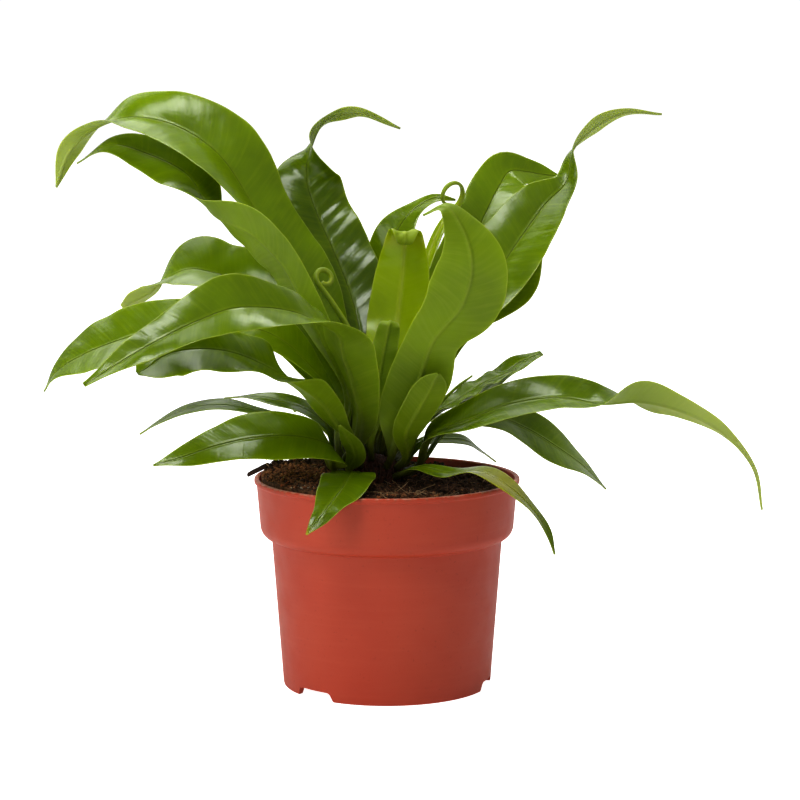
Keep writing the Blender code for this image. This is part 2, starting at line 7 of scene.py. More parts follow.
import bmesh
import bpy
import numpy as np
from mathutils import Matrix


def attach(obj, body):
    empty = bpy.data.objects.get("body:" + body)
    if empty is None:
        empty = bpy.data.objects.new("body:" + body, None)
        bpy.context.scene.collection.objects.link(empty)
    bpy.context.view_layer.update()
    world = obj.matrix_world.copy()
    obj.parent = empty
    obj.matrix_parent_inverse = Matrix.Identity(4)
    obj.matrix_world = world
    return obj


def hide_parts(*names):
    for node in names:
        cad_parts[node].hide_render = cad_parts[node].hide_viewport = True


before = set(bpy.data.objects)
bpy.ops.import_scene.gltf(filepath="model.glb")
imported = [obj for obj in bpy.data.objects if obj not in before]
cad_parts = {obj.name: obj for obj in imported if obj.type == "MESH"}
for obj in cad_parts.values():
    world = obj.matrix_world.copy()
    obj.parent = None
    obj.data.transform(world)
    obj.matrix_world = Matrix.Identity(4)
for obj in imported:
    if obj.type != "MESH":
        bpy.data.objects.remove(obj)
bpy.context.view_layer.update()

# Metres in a millimetre, the gap between neighbouring pieces, and what the fronds keep beyond it
MM = 0.001
GAP = 0.35
TINY = 0.05

# Nursery pot, as in the solids
POT_HEIGHT = 94.6
LIP_RADIUS = 60.0
LIP_HEIGHT = 2.0
BAND_TOP_RADIUS = 59.0
BAND_FOOT_RADIUS = 57.4
BAND_FOOT_Z = 73.2
BAND_MIDDLE = (58.2, 83.0)
BODY_TOP_RADIUS = 52.2
BODY_TOP_Z = 67.2
BODY_MIDDLE = (49.7, 34.0)
SHOULDER_TURNS = (0, 15, 30, 45, 60, 75, 90)
FOOT_RADIUS = 47.2
WALL = 1.3
LEDGE = 0.4
FOOT_CHAMFER = (0.2, 0.6)
POT_CORNER = 0.8
BASE_LIFT = 3.2
BASE_TOP_Z = 4.6
FOOT_WIDTH = 2.6
PAD_RADIUS = 16.0
PAD_SLOPE = 1.6
POT_SIDES = 192
NOTCH_BEARINGS = (226.5, 346.5, 106.5)
NOTCH_WIDTH = 18.0
NOTCH_HEIGHT = 4.0
NOTCH_FLARE = 3.0
NOTCH_REACH = 12.0
NOTCH_CORNER = 1.6
DRAIN_COUNT = 8
DRAIN_DIAMETER = 5.5
DRAIN_RING_RADIUS = 33.0
DRAIN_SIDES = 24

# Peat, as in the solids
PEAT_LEVEL = 93.8
PEAT_SLOPE = -0.1
PEAT_CRUMB = 0.9
PEAT_DISH = 1.8
PEAT_DISH_WIDTH = 12.0
PEAT_INSET_Z = 87.6
PEAT_OVER_LIP = 1.0
PEAT_WALL_START = 47.0
PEAT_WALL_BLEND = 8.0
PEAT_CLEAR = 0.5
PEAT_TOP_CLEAR = 0.3

# Finer top of the peat, the spot on its left that is painted lighter as painted light, and how far out
# loose things lie on it
PEAT_SIDES = 256
PEAT_RINGS = 64
PEAT_GRAIN = 0.55
PEAT_SHIFT = 0.6
PAINTED_LIGHT_SPOT = (-38.0, -12.0)
PAINTED_LIGHT_SPREAD = (11.0, 16.0)
SCATTER_RADIUS = 55.0
HEAP_RADIUS = 56.5
FIBRE_RADIUS = 56.0
FIBRE_CLEAR = 0.1
FIBRE_STEPS = 6
CRUMB_COUNT = 2600
FIBRE_COUNT = 420
GRIT_COUNT = 70
BARK_FINES_COUNT = 14

# Heaps of litter on the peat, as (count, spot, spread, height)
CRUMBS_BY_BARK = (260, (-52.0, 12.5), (3.6, 4.2), 3.2)
# The pale heap on the left stands where the light falls, as painted light
CRUMBS_HEAPED_AS_PAINTED_LIGHT = (CRUMB_COUNT // 2, PAINTED_LIGHT_SPOT, PAINTED_LIGHT_SPREAD, 1.2)
CRUMBS_IN_FRONT = (260, (8.0, -44.0), (16.0, 5.0), 0.4)
GRIT_BY_LIP = (16, (-39.0, -39.0), (4.0, 1.5))
FINES_BY_LIP = (3, (-44.0, -31.0), (1.0, 1.0))
MOSS_TUFT = (130, (23.0, 41.0), (3.6, 3.0), 3.6)
FIBRES_IN_FRONT = (90, (10.0, -42.0), (18.0, 5.0), 1.0)
ROOTS_IN_FRONT = (46, (20.0, -40.0), (14.0, 6.0), 1.5)

# Crown, as in the solids, and the scales over it: each turned by SCALE_TURN radians from the one
# before, with rows of (share of its length, share of its width, lift)
CROWN_CENTRE = (-6.0, 4.0, 92.0)
CROWN_RADIUS = 14.0
CROWN_RISE = 12.0
CROWN_ROOT_Z = 74.0
CROWN_CORE = 0.9
PEAT_HOLE_RADIUS = CROWN_RADIUS - 1.0
SCALE_LENGTH = 5.2
SCALE_WIDTH = 1.9
SCALE_COUNT = 620
SCALE_TURN = 2.39996
SCALE_SINK = 0.03
SCALE_LEAN = 0.35
SCALE_RIDGE = 0.22
SCALE_BELLY = 0.12
SCALE_ROWS = ((0, 0.6, 0.0), (0.35, 1.0, 0.5), (0.7, 0.6, 1.2), (1.0, 0.05, 1.7))
CORE_SIDES = 48

# Bark chip, as in the solids, with layers of (height, share of the outline)
BARK_OUTLINE = (
    (-6.2, -0.6), (-3.4, -1.4), (1.6, -1.7), (5.0, -1.1), (5.6, 0.8), (2.0, 1.7), (-3.0, 1.4),
    (-6.0, 0.5))
BARK_PLACE = (-58.2, 13.0)
BARK_THICKNESS = 1.7
BARK_BULGE = 0.4
BARK_CORNER = 0.8
BARK_TAPER = 0.82
BARK_RISE = 27.0
BARK_LAYERS = (
    (0, 0.94), (0.2, 1.0), (0.5, 0.97), (0.8, 1.0), (1.2, 0.93), (1.5, 0.88), (1.7, 0.78))

# Fronds, as in the solids, at a finer pitch
STIPE_WIDTH = 3.0
STIPE_THICKNESS = 2.8
SOLID_BLADE = 0.8
BLADE = 0.42
MARGIN = 0.14
TIP_WIDTH = 0.7
FIRST_RUN = 5.0
ROW_SPACING = 1.5
CURL_ROWS = 40
CURL_TIGHTENING = 0.45
RIB_COLUMNS = (0.22, 0.45, 0.75, 1.15, 1.7)
BLADE_COLUMNS = (0.22, 0.34, 0.46, 0.58, 0.7, 0.8, 0.88)
MARGIN_COLUMNS = (0.7, 0.25)
VEIN_LEAN = 0.5
VEIN_STRETCH = 0.06
VEIN_SPACING = 1.5

# Relief of a blade, in millimetres, or as shares of its length, half width or rib; RIB_TAPER and
# WAVE_POWER are powers
RIB_REACH = 0.38
RIB_TAPER = 1.8
RIB_RELIEF = 0.35
RIB_SPREAD = 0.62
RIB_SHOULDER = 0.55
RIB_ABOVE = 0.35
GROOVE_DEPTH = 0.22
GROOVE_WIDTH = 0.3
GROOVED_HALF = 2.5
CUP_EASING = 0.5
BOWL = 0.1
WAVE_START = 0.15
WAVE_RISE = 0.3
WAVE_FALL = 0.15
WAVE_SHIFT = 0.37
WAVE_POWER = 1.7
CRIMP = 0.018
CRIMP_SPACING = 20.0
WANDER = 0.008
WANDER_SPACING = 12.0
CRUMPLE_START = 0.84
CRUMPLE_RISE = 0.06
# How strongly a tip's underside is painted paler, as painted light shining through it, and over what
# share of the length that grows
BACKLIGHT_PAINT_STRENGTH = 0.7
BACKLIGHT_PAINT_RISE = 0.25

# Seeds of what is drawn at random
FROND_SEED = 1000
LITTER_SEED = 7

# Studio, in metres and watts: half the floor's width, how bright the floor is to all but the camera,
# the room's own light, its broad glows as (direction, cosine where the glow is full, cosine where it
# ends, strength), and soft boxes as (name, place, width, height, power), which face the plant. The
# camera looks down by its dip in degrees, through a lens in millimetres, on to a room that it sees white.
FLOOR = 6.0
FLOOR_GLOW = 0.22
ROOM_LIGHT = 0.06
ROOM_GLOWS = (
    ((0.0, 0.9, 0.3), 0.95, 0.4, 0.8),
    ((0.6, -0.7, 0.2), 0.9, 0.1, 0.25),
)
SOFT_BOXES = (
    ("soft_box_overhead", (-0.36, -0.56, 1.26), 0.56, 0.36, 7.5),
    ("soft_box_left", (-1.2, -0.75, 0.62), 0.9, 0.9, 7.5),
    ("soft_box_behind", (-0.45, 0.68, 1.28), 1.0, 0.8, 6.5),
    ("soft_box_top", (0.15, 0.27, 1.4), 0.46, 0.36, 4.4),
)
PLANT_MIDDLE = (0.0, 0.0, 0.15)
CAMERA_PLACE = (0.0059, -1.145, 0.2843)
CAMERA_DIP = 7.7
CAMERA_LENS = 115.3
SEEN_WHITE = 1.05

# A frond leaves the crown at root = (bearing, elevation) in degrees, bearing 0 being +X and 270 the
# front. Its midrib then passes through path = (x, y, z, turn, width), where turn in degrees raises
# the edge on the clockwise side, as seen from above, and width is the blade's full width there. cup
# is the angle by which each half rises from the midrib. wave = (height, count, phase) is the ruffle
# of the edges, curl = (radius, turns) rolls up the tip towards the upper side, and stem is the least
# thickness along the midrib.
Frond = namedtuple(
    "Frond", "name root path cup wave curl age stem", defaults=(None, "grown", 0.0))

FRONDS = (
    Frond(
        "frond_high_arch", (172, 62),
        ((-15, 12, 128, 15, 8), (-26, 20, 150, 32, 22), (-40, 29, 177, 38, 38), (-62.5, 40, 215, 30, 40),
         (-80, 47.5, 239.5, 50, 41), (-107, 54, 253.5, 56, 33), (-122, 57, 254.5, 43, 27),
         (-135.5, 59, 250, 0, 16), (-148.5, 60, 239, -42, 12), (-155.5, 61, 222, -45, 1)),
        cup=30, wave=(1.2, 3, 0.1)),
    Frond(
        "frond_second_arch", (176, 40),
        ((-18, 3, 129, -20, 11), (-29, -1, 157, -40, 20), (-38, -2, 175, -45, 24),
         (-48, 3, 192, -45, 28), (-60, 9, 203, -45, 29), (-79, 24, 211.5, -10, 25),
         (-93, 39, 229.5, 42, 28), (-110, 48, 237.5, 42, 25), (-129, 53, 242, 40, 15),
         (-145, 56, 233.5, 20, 1)),
        cup=6, wave=(1.0, 3, 0.4)),
    Frond(
        "frond_folded_tip", (128, 66),
        ((-9, 21, 128, 10, 11), (-12, 32, 153, 20, 24), (-16, 42, 170, 25, 32), (-25, 53, 192, 28, 35),
         (-34, 62, 212, 30, 32), (-38, 67, 225, 50, 32), (-36, 70, 240.5, 115, 20),
         (-30, 73, 252, 150, 9), (-15, 76, 256.5, 165, 6), (6, 80, 249, 165, 1)),
        cup=16, wave=(1.0, 9, 0.0)),
    Frond(
        "frond_back_centre", (85, 60),
        ((-1, 23, 127, 10, 7), (-1, 42, 158, 20, 21), (0, 55, 185, 30, 26), (5, 58, 202.5, 30, 20),
         (13, 60, 212, 30, 10), (23, 62, 217, 20, 5), (32, 64, 216, 10, 1)),
        cup=10, wave=(0.8, 4, 0.2)),
    Frond(
        "frond_ring_tip", (52, 66),
        ((0, 14, 121, 0, 4), (6, 26, 154, 0, 8), (18, 38, 187, 0, 7), (27.5, 46, 208, 0, 5),
         (33, 48, 214.5, 0, 4)),
        cup=10, wave=(0.3, 3, 0.2), curl=(7.6, 0.85), age="young", stem=1.4),
    Frond(
        "frond_young_bright", (110, 86),
        ((-5.5, -1.5, 116, 8, 7), (0.6, -3.5, 134, 25, 17), (3.5, 4, 151, 30, 26),
         (5, 12.5, 167, 30, 27.5), (7.5, 17, 190, 30, 23), (8, 15, 202, 30, 17)),
        cup=-8, wave=(0.8, 5, 0.0), curl=(3.6, 0.9), age="young"),
    Frond(
        "frond_young_crinkled", (262, 62),
        ((-8, -8, 112, 0, 5), (-5, -10, 131, 0, 12), (-2, -11, 149, 0, 13), (1, -11, 164, 0, 10)),
        cup=20, wave=(0.8, 6, 0.3), curl=(2.6, 0.8), age="young"),
    Frond(
        "frond_broad_right", (300, 40),
        ((7, -15, 123, 20, 22), (14.3, -24, 141, 28, 28), (20.5, -34, 160, 28, 24),
         (33.5, -42, 178, 30, 34), (36.5, -46, 198, 30, 28), (32.5, -44, 210, 20, 17),
         (25, -40, 219, 0, 8), (16, -36, 215, 0, 1)),
        cup=8, wave=(1.0, 3, 0.6)),
    Frond(
        "frond_short_round", (326, 34),
        ((9, -20, 118, 40, 13), (15, -27, 130, 40, 16), (19, -31, 138, 40, 15),
         (21.5, -34, 143.5, 40, 9), (22.5, -35, 146, 40, 2)),
        cup=12, wave=(0.3, 2, 0.0)),
    Frond(
        "frond_front_fold", (238, 42),
        ((-12, -13, 124, 18, 18), (-15, -21, 139, 18, 27), (-19, -30, 153, 15, 33),
         (-21, -37, 163, 15, 34), (-29, -44, 169, 22, 28), (-39, -51, 174, 48, 26),
         (-52, -59, 177, 52, 30), (-66, -65, 177, 58, 30), (-78, -69, 173, 60, 26),
         (-99, -76, 163, 52, 17), (-126, -84, 147, 40, 3)),
        cup=22, wave=(1.4, 4, 0.3)),
    Frond(
        "frond_left_middle", (196, 40),
        ((-23, -4, 128, 20, 12), (-34, -6, 145, 30, 21), (-50, -6, 159, 40, 29), (-68, -5, 164, 46, 33),
         (-84, -4, 165, 47, 32), (-102, -2, 162, 48, 35), (-120, 0, 156.5, 50, 38),
         (-137, 2, 149.5, 50, 31), (-150, 3, 141, 40, 11), (-155, 4, 133, 20, 3)),
        cup=10, wave=(1.2, 3, 0.8)),
    Frond(
        "frond_left_upper", (148, 42),
        ((-19, 15, 118, 10, 7), (-31, 23, 138, 30, 22), (-48, 34, 162, 36, 35), (-64, 44, 176, 34, 41),
         (-79.5, 50, 182, 26, 37), (-94, 56, 183.5, 24, 40), (-106, 61, 177.5, 14, 23),
         (-113, 65, 171.5, -18, 14), (-119.5, 67, 168, -30, 12), (-126, 69, 164.5, -40, 4)),
        cup=26, wave=(1.0, 3, 0.5)),
    Frond(
        "frond_left_lower", (216, 36),
        ((-15, -14, 110, -10, 5), (-22, -20, 121, -22, 11), (-30, -30, 133.5, -22, 19),
         (-41, -40, 143, 5, 26), (-54, -48, 151.5, 36, 30), (-67, -55, 157.5, 38, 32),
         (-80, -61, 159.5, 44, 33), (-94, -66, 157.2, 42, 31), (-101.5, -69, 152, 30, 20),
         (-105, -70, 150, 20, 4)),
        cup=18, wave=(1.6, 5, 0.1)),
    Frond(
        "frond_thin_left", (180, 18),
        ((-30, 2, 113, 10, 6), (-44, 4, 119, 14, 8), (-60, 6, 123.5, 18, 9), (-74, 8, 126, 22, 14),
         (-92, 10, 123.5, 20, 13), (-106, 12, 116.5, 14, 6), (-113, 13, 112, 10, 1)),
        cup=6, wave=(0.4, 2, 0.0)),
    Frond(
        "frond_thin_left_back", (156, 18),
        ((-26, 12, 114, 10, 9), (-36, 18, 122, 15, 13), (-49, 27, 125.5, 20, 14),
         (-64, 34, 126.5, 20, 7), (-76, 40, 125, 10, 1)),
        cup=6, wave=(0.4, 2, 0.5)),
    Frond(
        "frond_low_left", (206, 18),
        ((-25, -20, 111.5, 20, 25), (-38, -29, 117, 28, 29), (-57, -38, 118, 30, 27),
         (-74, -46, 115.5, 28, 20), (-89, -52, 111.2, 26, 10), (-100, -58, 109, 20, 1)),
        cup=4, wave=(0.6, 3, 0.2)),
    Frond(
        "frond_over_rim_front", (254, 18),
        ((-15.5, -34, 101, 0, 22), (-19, -52, 98, 0, 22), (-25.5, -64, 91, 0, 13), (-34, -70, 81, 0, 1)),
        cup=4, wave=(0.8, 4, 0.1)),
    Frond(
        "frond_small_front", (232, 22),
        ((-14, -17, 107, 0, 10), (-17, -22, 115, 0, 9), (-21, -26, 122, 0, 1)),
        cup=10, wave=(0.3, 2, 0.0)),
    Frond(
        "frond_long_right", (348, 18),
        ((20, -7, 114, -20, 14), (37, -12, 122, -36, 19), (56, -17, 130, -42, 22),
         (78, -21, 133, -28, 25), (94, -24, 131, -8, 27), (112, -26, 132, 34, 31),
         (129, -28, 128.3, 42, 17), (148.5, -30, 118.2, 38, 10), (161.5, -31, 103, 25, 6),
         (165.5, -32, 85, 20, 1)),
        cup=22, wave=(0.6, 3, 0.7)),
    Frond(
        "frond_right_lower", (12, 18),
        ((29, 10, 116, -20, 9), (50, 18, 119, -40, 18), (64, 23, 113, -45, 25), (78, 27, 104, -42, 27),
         (90, 31, 95, -35, 18), (102, 34, 83, -25, 1)),
        cup=5, wave=(0.5, 3, 0.3)),
    Frond(
        "frond_small_right_back", (42, 18),
        ((15, 17, 107, -10, 6), (27, 24, 108, -15, 8), (37, 31, 106, -15, 8), (43, 38, 101, -15, 6),
         (51, 46, 94, -10, 1)),
        cup=6, wave=(0.3, 2, 0.0)),
    Frond(
        "frond_over_rim_right", (314, 18),
        ((14, -21, 102, -12, 6), (28, -31, 101, -8, 13), (41, -38, 103, 0, 17), (53, -44, 97.5, 0, 14),
         (63.5, -48, 88, 0, 9), (70.5, -51, 77.5, 0, 5), (73, -53, 69, 0, 1)),
        cup=6, wave=(0.5, 3, 0.5)),
    Frond(
        "frond_finger_back", (28, 38),
        ((20, 10, 120, 0, 6), (36.5, 14, 129.5, -10, 10), (48, 17, 135.5, -10, 12),
         (60, 20, 143.5, -10, 11), (71, 23, 148, -10, 4)),
        cup=14, wave=(0.5, 5, 0.0)),
    Frond(
        "frond_finger_crinkled", (4, 40),
        ((17, 4, 119, 0, 11), (31.5, 6, 128.5, -15, 15), (43, 8, 135.5, -15, 14),
         (52, 9, 139.5, -15, 10), (58.5, 10, 142, -15, 1)),
        cup=14, wave=(0.9, 6, 0.2)),
    Frond(
        "frond_finger_front", (342, 38),
        ((17, -6, 122, 0, 8), (25, -8, 130, 0, 10), (32, -10, 137, 0, 8), (38, -12, 142, 0, 2)),
        cup=10, wave=(0.3, 3, 0.0)),
    Frond(
        "frond_tall_right", (20, 64),
        ((8, 9, 120, -20, 8), (18, 14, 143, -35, 20), (35, 22, 168, -45, 32), (52, 29, 187, -45, 37),
         (63, 35, 202, -45, 34), (73, 41, 215, -40, 27), (83.5, 47, 225.5, -28, 12),
         (86.5, 52, 240, 25, 11), (95, 56, 248.5, 35, 13), (111, 62, 256.5, 40, 5),
         (129, 68, 256, 40, 1)),
        cup=22, wave=(1.2, 3, 0.2)),
    Frond(
        "frond_tall_back", (62, 46),
        ((5, 31, 133, -10, 13), (19, 51, 161, -20, 21), (36, 65, 188, -28, 26), (47, 72, 210, -28, 26),
         (53, 77, 221.5, -27, 26), (58.5, 82, 228.5, -27, 22), (66.5, 86, 228, -30, 16),
         (74.5, 90, 226.5, -30, 12), (82, 92, 225.5, -30, 3)),
        cup=16, wave=(1.0, 3, 0.5)),
    Frond(
        "frond_tall_lower", (42, 34),
        ((13, 21, 122, -20, 7), (23, 29, 142, -35, 12), (36, 40, 163, -40, 20), (54, 49, 180, -40, 34),
         (64.5, 55, 196, -40, 20), (75, 60, 210, -30, 2)),
        cup=10, wave=(1.4, 4, 0.1)),
    Frond(
        "frond_crozier", (214, 70),
        ((-11, -1, 139, 0, 4), (-16, 0, 159, 0, 4), (-23, 2, 171, 0, 3), (-31, 3, 182, 0, 3)),
        cup=0, wave=(0.0, 1, 0.0), curl=(4.6, 0.98), age="young", stem=2.4),
    Frond(
        "frond_back_low_left", (130, 18),
        ((-22, 26, 110, 10, 14), (-33, 48, 120, 10, 22), (-40, 66, 120, 5, 16), (-45, 80, 113, 0, 1)),
        cup=8, wave=(0.8, 3, 0.0)),
    Frond(
        "frond_back_low", (102, 18),
        ((-10, 34, 118, 0, 13), (-16, 62, 142, 0, 27), (-20, 92, 152, 0, 29), (-22, 122, 142, 0, 17),
         (-23, 138, 130, 0, 1)),
        cup=10, wave=(1.0, 3, 0.4)),
    Frond(
        "frond_back_low_right", (66, 18),
        ((6, 28, 108, 0, 11), (14, 52, 114, -5, 23), (20, 76, 112, -5, 20), (25, 96, 104, 0, 1)),
        cup=8, wave=(0.8, 3, 0.6)),
    Frond(
        "frond_back_middle", (84, 38),
        ((-1, 34, 128, 0, 15), (-1, 64, 166, 0, 32), (1, 94, 184, 0, 32), (6, 122, 178, 0, 20),
         (10, 142, 163, 0, 1)),
        cup=10, wave=(1.2, 3, 0.1)),
    Frond(
        "frond_back_left", (116, 38),
        ((-24, 34, 136, 0, 16), (-40, 62, 166, 5, 28), (-50, 92, 180, 5, 29), (-57, 116, 172, 5, 20),
         (-60, 130, 160, 0, 1)),
        cup=10, wave=(1.2, 3, 0.7)),
)

# How bright each frond is beside the others, from -1, dark, to 1, pale: partly its own tone and age, and
# partly painted shade on the fronds that stand in the plant's own shadow
TONES_AND_PAINTED_SHADE = {
    "frond_high_arch": 0.3,
    "frond_second_arch": -0.1,
    "frond_folded_tip": -0.9,
    "frond_young_bright": 1.0,
    "frond_broad_right": 0.2,
    "frond_front_fold": -0.15,
    "frond_left_upper": 0.3,
    "frond_low_left": 0.6,
    "frond_tall_back": 0.3,
    "frond_tall_right": -0.2,
    "frond_over_rim_front": -0.8,
    "frond_over_rim_right": -0.6,
    "frond_long_right": -0.5,
    "frond_right_lower": -0.3,
    "frond_tall_lower": -0.5,
}

# Soft pleats across a blade, as (height, spacing) in millimetres
PLEATS = {
    "frond_folded_tip": (0.55, 9.0),
    "frond_front_fold": (0.3, 11.0),
    "frond_left_middle": (0.25, 12.0),
}
PLEAT = (0.14, 10.0)

# Where a frond turns yellow along its length, as (share of the length, spread, strength)
YELLOWING = {
    "frond_over_rim_right": (0.62, 0.16, 0.55),
    "frond_over_rim_front": (1.0, 0.03, 0.8),
    "frond_young_bright": (0.86, 0.03, 0.3),
}

# From which share of its length a frond's tip is painted paler underneath, as painted light shining
# through it from behind
PAINTED_BACKLIT_TIPS = {
    "frond_high_arch": 0.65,
    "frond_folded_tip": 0.65,
    "frond_tall_right": 0.6,
    "frond_long_right": 0.5,
    "frond_left_upper": 0.75,
    "frond_back_centre": 0.75,
}


# Meshes


def skin_faces(count, levels):
    """Faces through rings of points, with a middle point at each end."""
    faces = []
    for step in range(count):
        after = (step + 1) % count
        faces.append((0, 1 + after, 1 + step))
        for level in range(levels - 1):
            low = 1 + level * count
            high = low + count
            faces.append((low + step, low + after, high + after, high + step))
        last = 1 + (levels - 1) * count
        faces.append((last + step, last + after, last + count))
    return faces


def mesh_from(name, points, faces, smooth=True):
    """A mesh of points in millimetres, with its normals made to agree and face out."""
    mesh = bpy.data.meshes.new(name)
    mesh.from_pydata([tuple(point) for point in np.asarray(points, float) * MM], [], faces)
    shape = bmesh.new()
    shape.from_mesh(mesh)
    bmesh.ops.recalc_face_normals(shape, faces=shape.faces)
    shape.to_mesh(mesh)
    shape.free()
    if smooth:
        mesh.shade_smooth()
    return mesh


def add_piece(name, mesh, finishes, nodes=()):
    """Puts a piece in the scene: it rides on the root, and may stand for solids."""
    piece = bpy.data.objects.new(name, mesh)
    bpy.context.scene.collection.objects.link(piece)
    for finish in finishes:
        mesh.materials.append(finish)
    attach(piece, "root")
    if nodes:
        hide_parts(*nodes)
    return piece


def circle(radius, z, count, centre=(0.0, 0.0)):
    angles = np.arange(count) * 2 * math.pi / count
    return np.column_stack([
        centre[0] + radius * np.cos(angles),
        centre[1] + radius * np.sin(angles),
        np.full(count, z),
    ])


def unit(vectors):
    return vectors / np.maximum(np.linalg.norm(vectors, axis=-1, keepdims=True), 1e-9)


def add_numbers(mesh, name, values):
    """Keeps one number for each point, for a material to read."""
    field = mesh.attributes.new(name, "FLOAT", "POINT")
    field.data.foreach_set("value", np.asarray(values, np.float32).reshape(-1))


# Materials

NOISE = "ShaderNodeTexNoise"
RANGE = "ShaderNodeMapRange"
MATH = "ShaderNodeMath"
MIX = "ShaderNodeMix"
BUMP = "ShaderNodeBump"
NUMBER = "ShaderNodeAttribute"
PLACE = "ShaderNodeTexCoord"


def colour(code):
    """Linear colour of an sRGB hex value."""
    parts = [int(code[start:start + 2], 16) / 255 for start in (1, 3, 5)]
    linear = [p / 12.92 if p <= 0.04045 else ((p + 0.055) / 1.055) ** 2.4 for p in parts]
    return (*linear, 1.0)


def set_inputs(tree, made, inputs):
    """Gives a node its values and links, by the name or number of each input."""
    for name, value in inputs.items():
        if isinstance(value, bpy.types.NodeSocket):
            tree.links.new(value, made.inputs[name])
        else:
            made.inputs[name].default_value = value


def add_node(tree, kind, inputs, output=0, **settings):
    """Adds a node with its settings, values and links, and returns the output asked for."""
    made = tree.nodes.new(kind)
    for name, value in settings.items():
        setattr(made, name, value)
    set_inputs(tree, made, inputs)
    return made.outputs[output]


def new_material(name):
    """A material with its tree and its Principled shader."""
    made = bpy.data.materials.new(name)
    made.use_nodes = True
    return made, made.node_tree, made.node_tree.nodes["Principled BSDF"]


def lay_colours(tree, base, layers):
    """Lays colours over a base, one after another, each where its own mask is above 0."""
    for mask, code in layers:
        base = add_node(tree, MIX, {0: mask, 6: base, 7: colour(code)}, 2, data_type="RGBA")
    return base


def blade_marks(tree):
    """How far a spot is from the midrib in mm, and the streaks of the veins from 0 to 1."""
    along = add_node(tree, NUMBER, {}, "Fac", attribute_name="along")
    signed = add_node(tree, NUMBER, {}, "Fac", attribute_name="across")
    across = add_node(tree, MATH, {0: signed}, operation="ABSOLUTE")
    lag = add_node(tree, MATH, {0: across, 1: VEIN_LEAN}, operation="MULTIPLY")
    course = add_node(tree, MATH, {0: along, 1: lag}, operation="SUBTRACT")
    drawn_out = add_node(tree, MATH, {0: signed, 1: VEIN_STRETCH}, operation="MULTIPLY")
    run = add_node(tree, "ShaderNodeCombineXYZ", {"X": course, "Y": drawn_out})
    # The veins of a living blade are about 1 mm apart, which is two pixels of the render, so they
    # are drawn half as far apart again and as uneven streaks
    streaks = add_node(
        tree, NOISE, {"Vector": run, "Scale": 1 / VEIN_SPACING, "Detail": 2.5, "Roughness": 0.55}, "Fac")
    return across, add_node(tree, RANGE, {"Value": streaks, "From Min": 0.3, "From Max": 0.7})


def blade_light(tree, place):
    """How bright the green is, from about 0 to 1: soft clouds, and each frond's tone, which is partly its
    own tone and age and partly painted shade.
    """
    tone_and_shade = add_node(tree, NUMBER, {}, "Fac", attribute_name="tone_and_shade")
    clouds = add_node(tree, NOISE, {"Vector": place, "Scale": 1 / (24 * MM), "Detail": 3.0}, "Fac")
    raised = add_node(tree, MATH, {0: tone_and_shade, 1: 0.45, 2: clouds}, operation="MULTIPLY_ADD")
    return add_node(tree, RANGE, {"Value": raised, "From Min": 0.05, "From Max": 0.95})


def blade_layers(tree, across, rib_share, margin_share, rib_colour, margin_colour):
    """The layers that both sides of a blade share: midrib, thin margin, yellowing and brown foot."""
    rib = add_node(
        tree, RANGE,
        {"Value": across, "From Min": 0.2, "From Max": 0.5, "To Min": rib_share, "To Max": 0})
    edge = add_node(tree, NUMBER, {}, "Fac", attribute_name="margin")
    margin = add_node(
        tree, RANGE,
        {"Value": edge, "From Min": 0.15, "From Max": 0.6, "To Min": margin_share, "To Max": 0})
    yellow = add_node(tree, NUMBER, {}, "Fac", attribute_name="yellow")
    share = add_node(tree, NUMBER, {}, "Fac", attribute_name="share")
    foot = add_node(
        tree, RANGE, {"Value": share, "From Min": 0.03, "From Max": 0.15, "To Min": 0.85, "To Max": 0})
    return (
        (rib, rib_colour), (margin, margin_colour), (yellow, "#b3a81e"), (foot, "#38340f"))


def cuticle_finish(name, deep, bright, pale, rib_colour, midrib_sheen_share=0.16):
    """The waxy cuticle of a frond's upper side. It grows smooth over the veins, so the eye gets a
    wet-looking gloss in long soft patches, broken into fine streaks by the veins under it."""
    made, tree, shader = new_material(name)
    place = add_node(tree, PLACE, {}, "Object")
    across, veins = blade_marks(tree)
    light = blade_light(tree, place)
    pale_veins = add_node(tree, RANGE, {"Value": veins, "From Min": 0.45, "To Max": 0.16})
    # Painted highlight: the flanks of the raised midrib are painted pale, as the sheen along its ridge
    shoulder = add_node(
        tree, RANGE,
        {"Value": across, "From Min": 0.6, "From Max": 1.8, "To Min": midrib_sheen_share, "To Max": 0})
    leaf = lay_colours(tree, colour(deep), (
        (light, bright), (pale_veins, pale), (shoulder, pale),
        *blade_layers(tree, across, 0.4, 0.35, rib_colour, "#b9c45c")))
    # Wax grains are too fine to see; they are drawn about a millimetre wide, as a faint orange peel
    peel = add_node(tree, NOISE, {"Vector": place, "Scale": 1 / (1.1 * MM), "Detail": 1.0}, "Fac")
    ripple = add_node(tree, NOISE, {"Vector": place, "Scale": 1 / (5 * MM), "Detail": 2.0}, "Fac")
    gloss = add_node(
        tree, RANGE,
        {"Value": ripple, "From Min": 0.3, "From Max": 0.7, "To Min": 0.17, "To Max": 0.27})
    rippled = add_node(tree, BUMP, {"Height": ripple, "Strength": 0.25, "Distance": 0.5 * MM})
    peeled = add_node(
        tree, BUMP, {"Height": peel, "Strength": 0.12, "Distance": 0.06 * MM, "Normal": rippled})
    pleated = add_node(
        tree, BUMP, {"Height": veins, "Strength": 0.45, "Distance": 0.06 * MM, "Normal": peeled})
    set_inputs(tree, shader, {
        "Base Color": leaf, "Roughness": gloss, "Normal": pleated, "IOR": 1.48,
        "Subsurface Weight": 0.7, "Subsurface Radius": (1.0, 1.0, 0.1), "Subsurface Scale": 1.2 * MM})
    return made


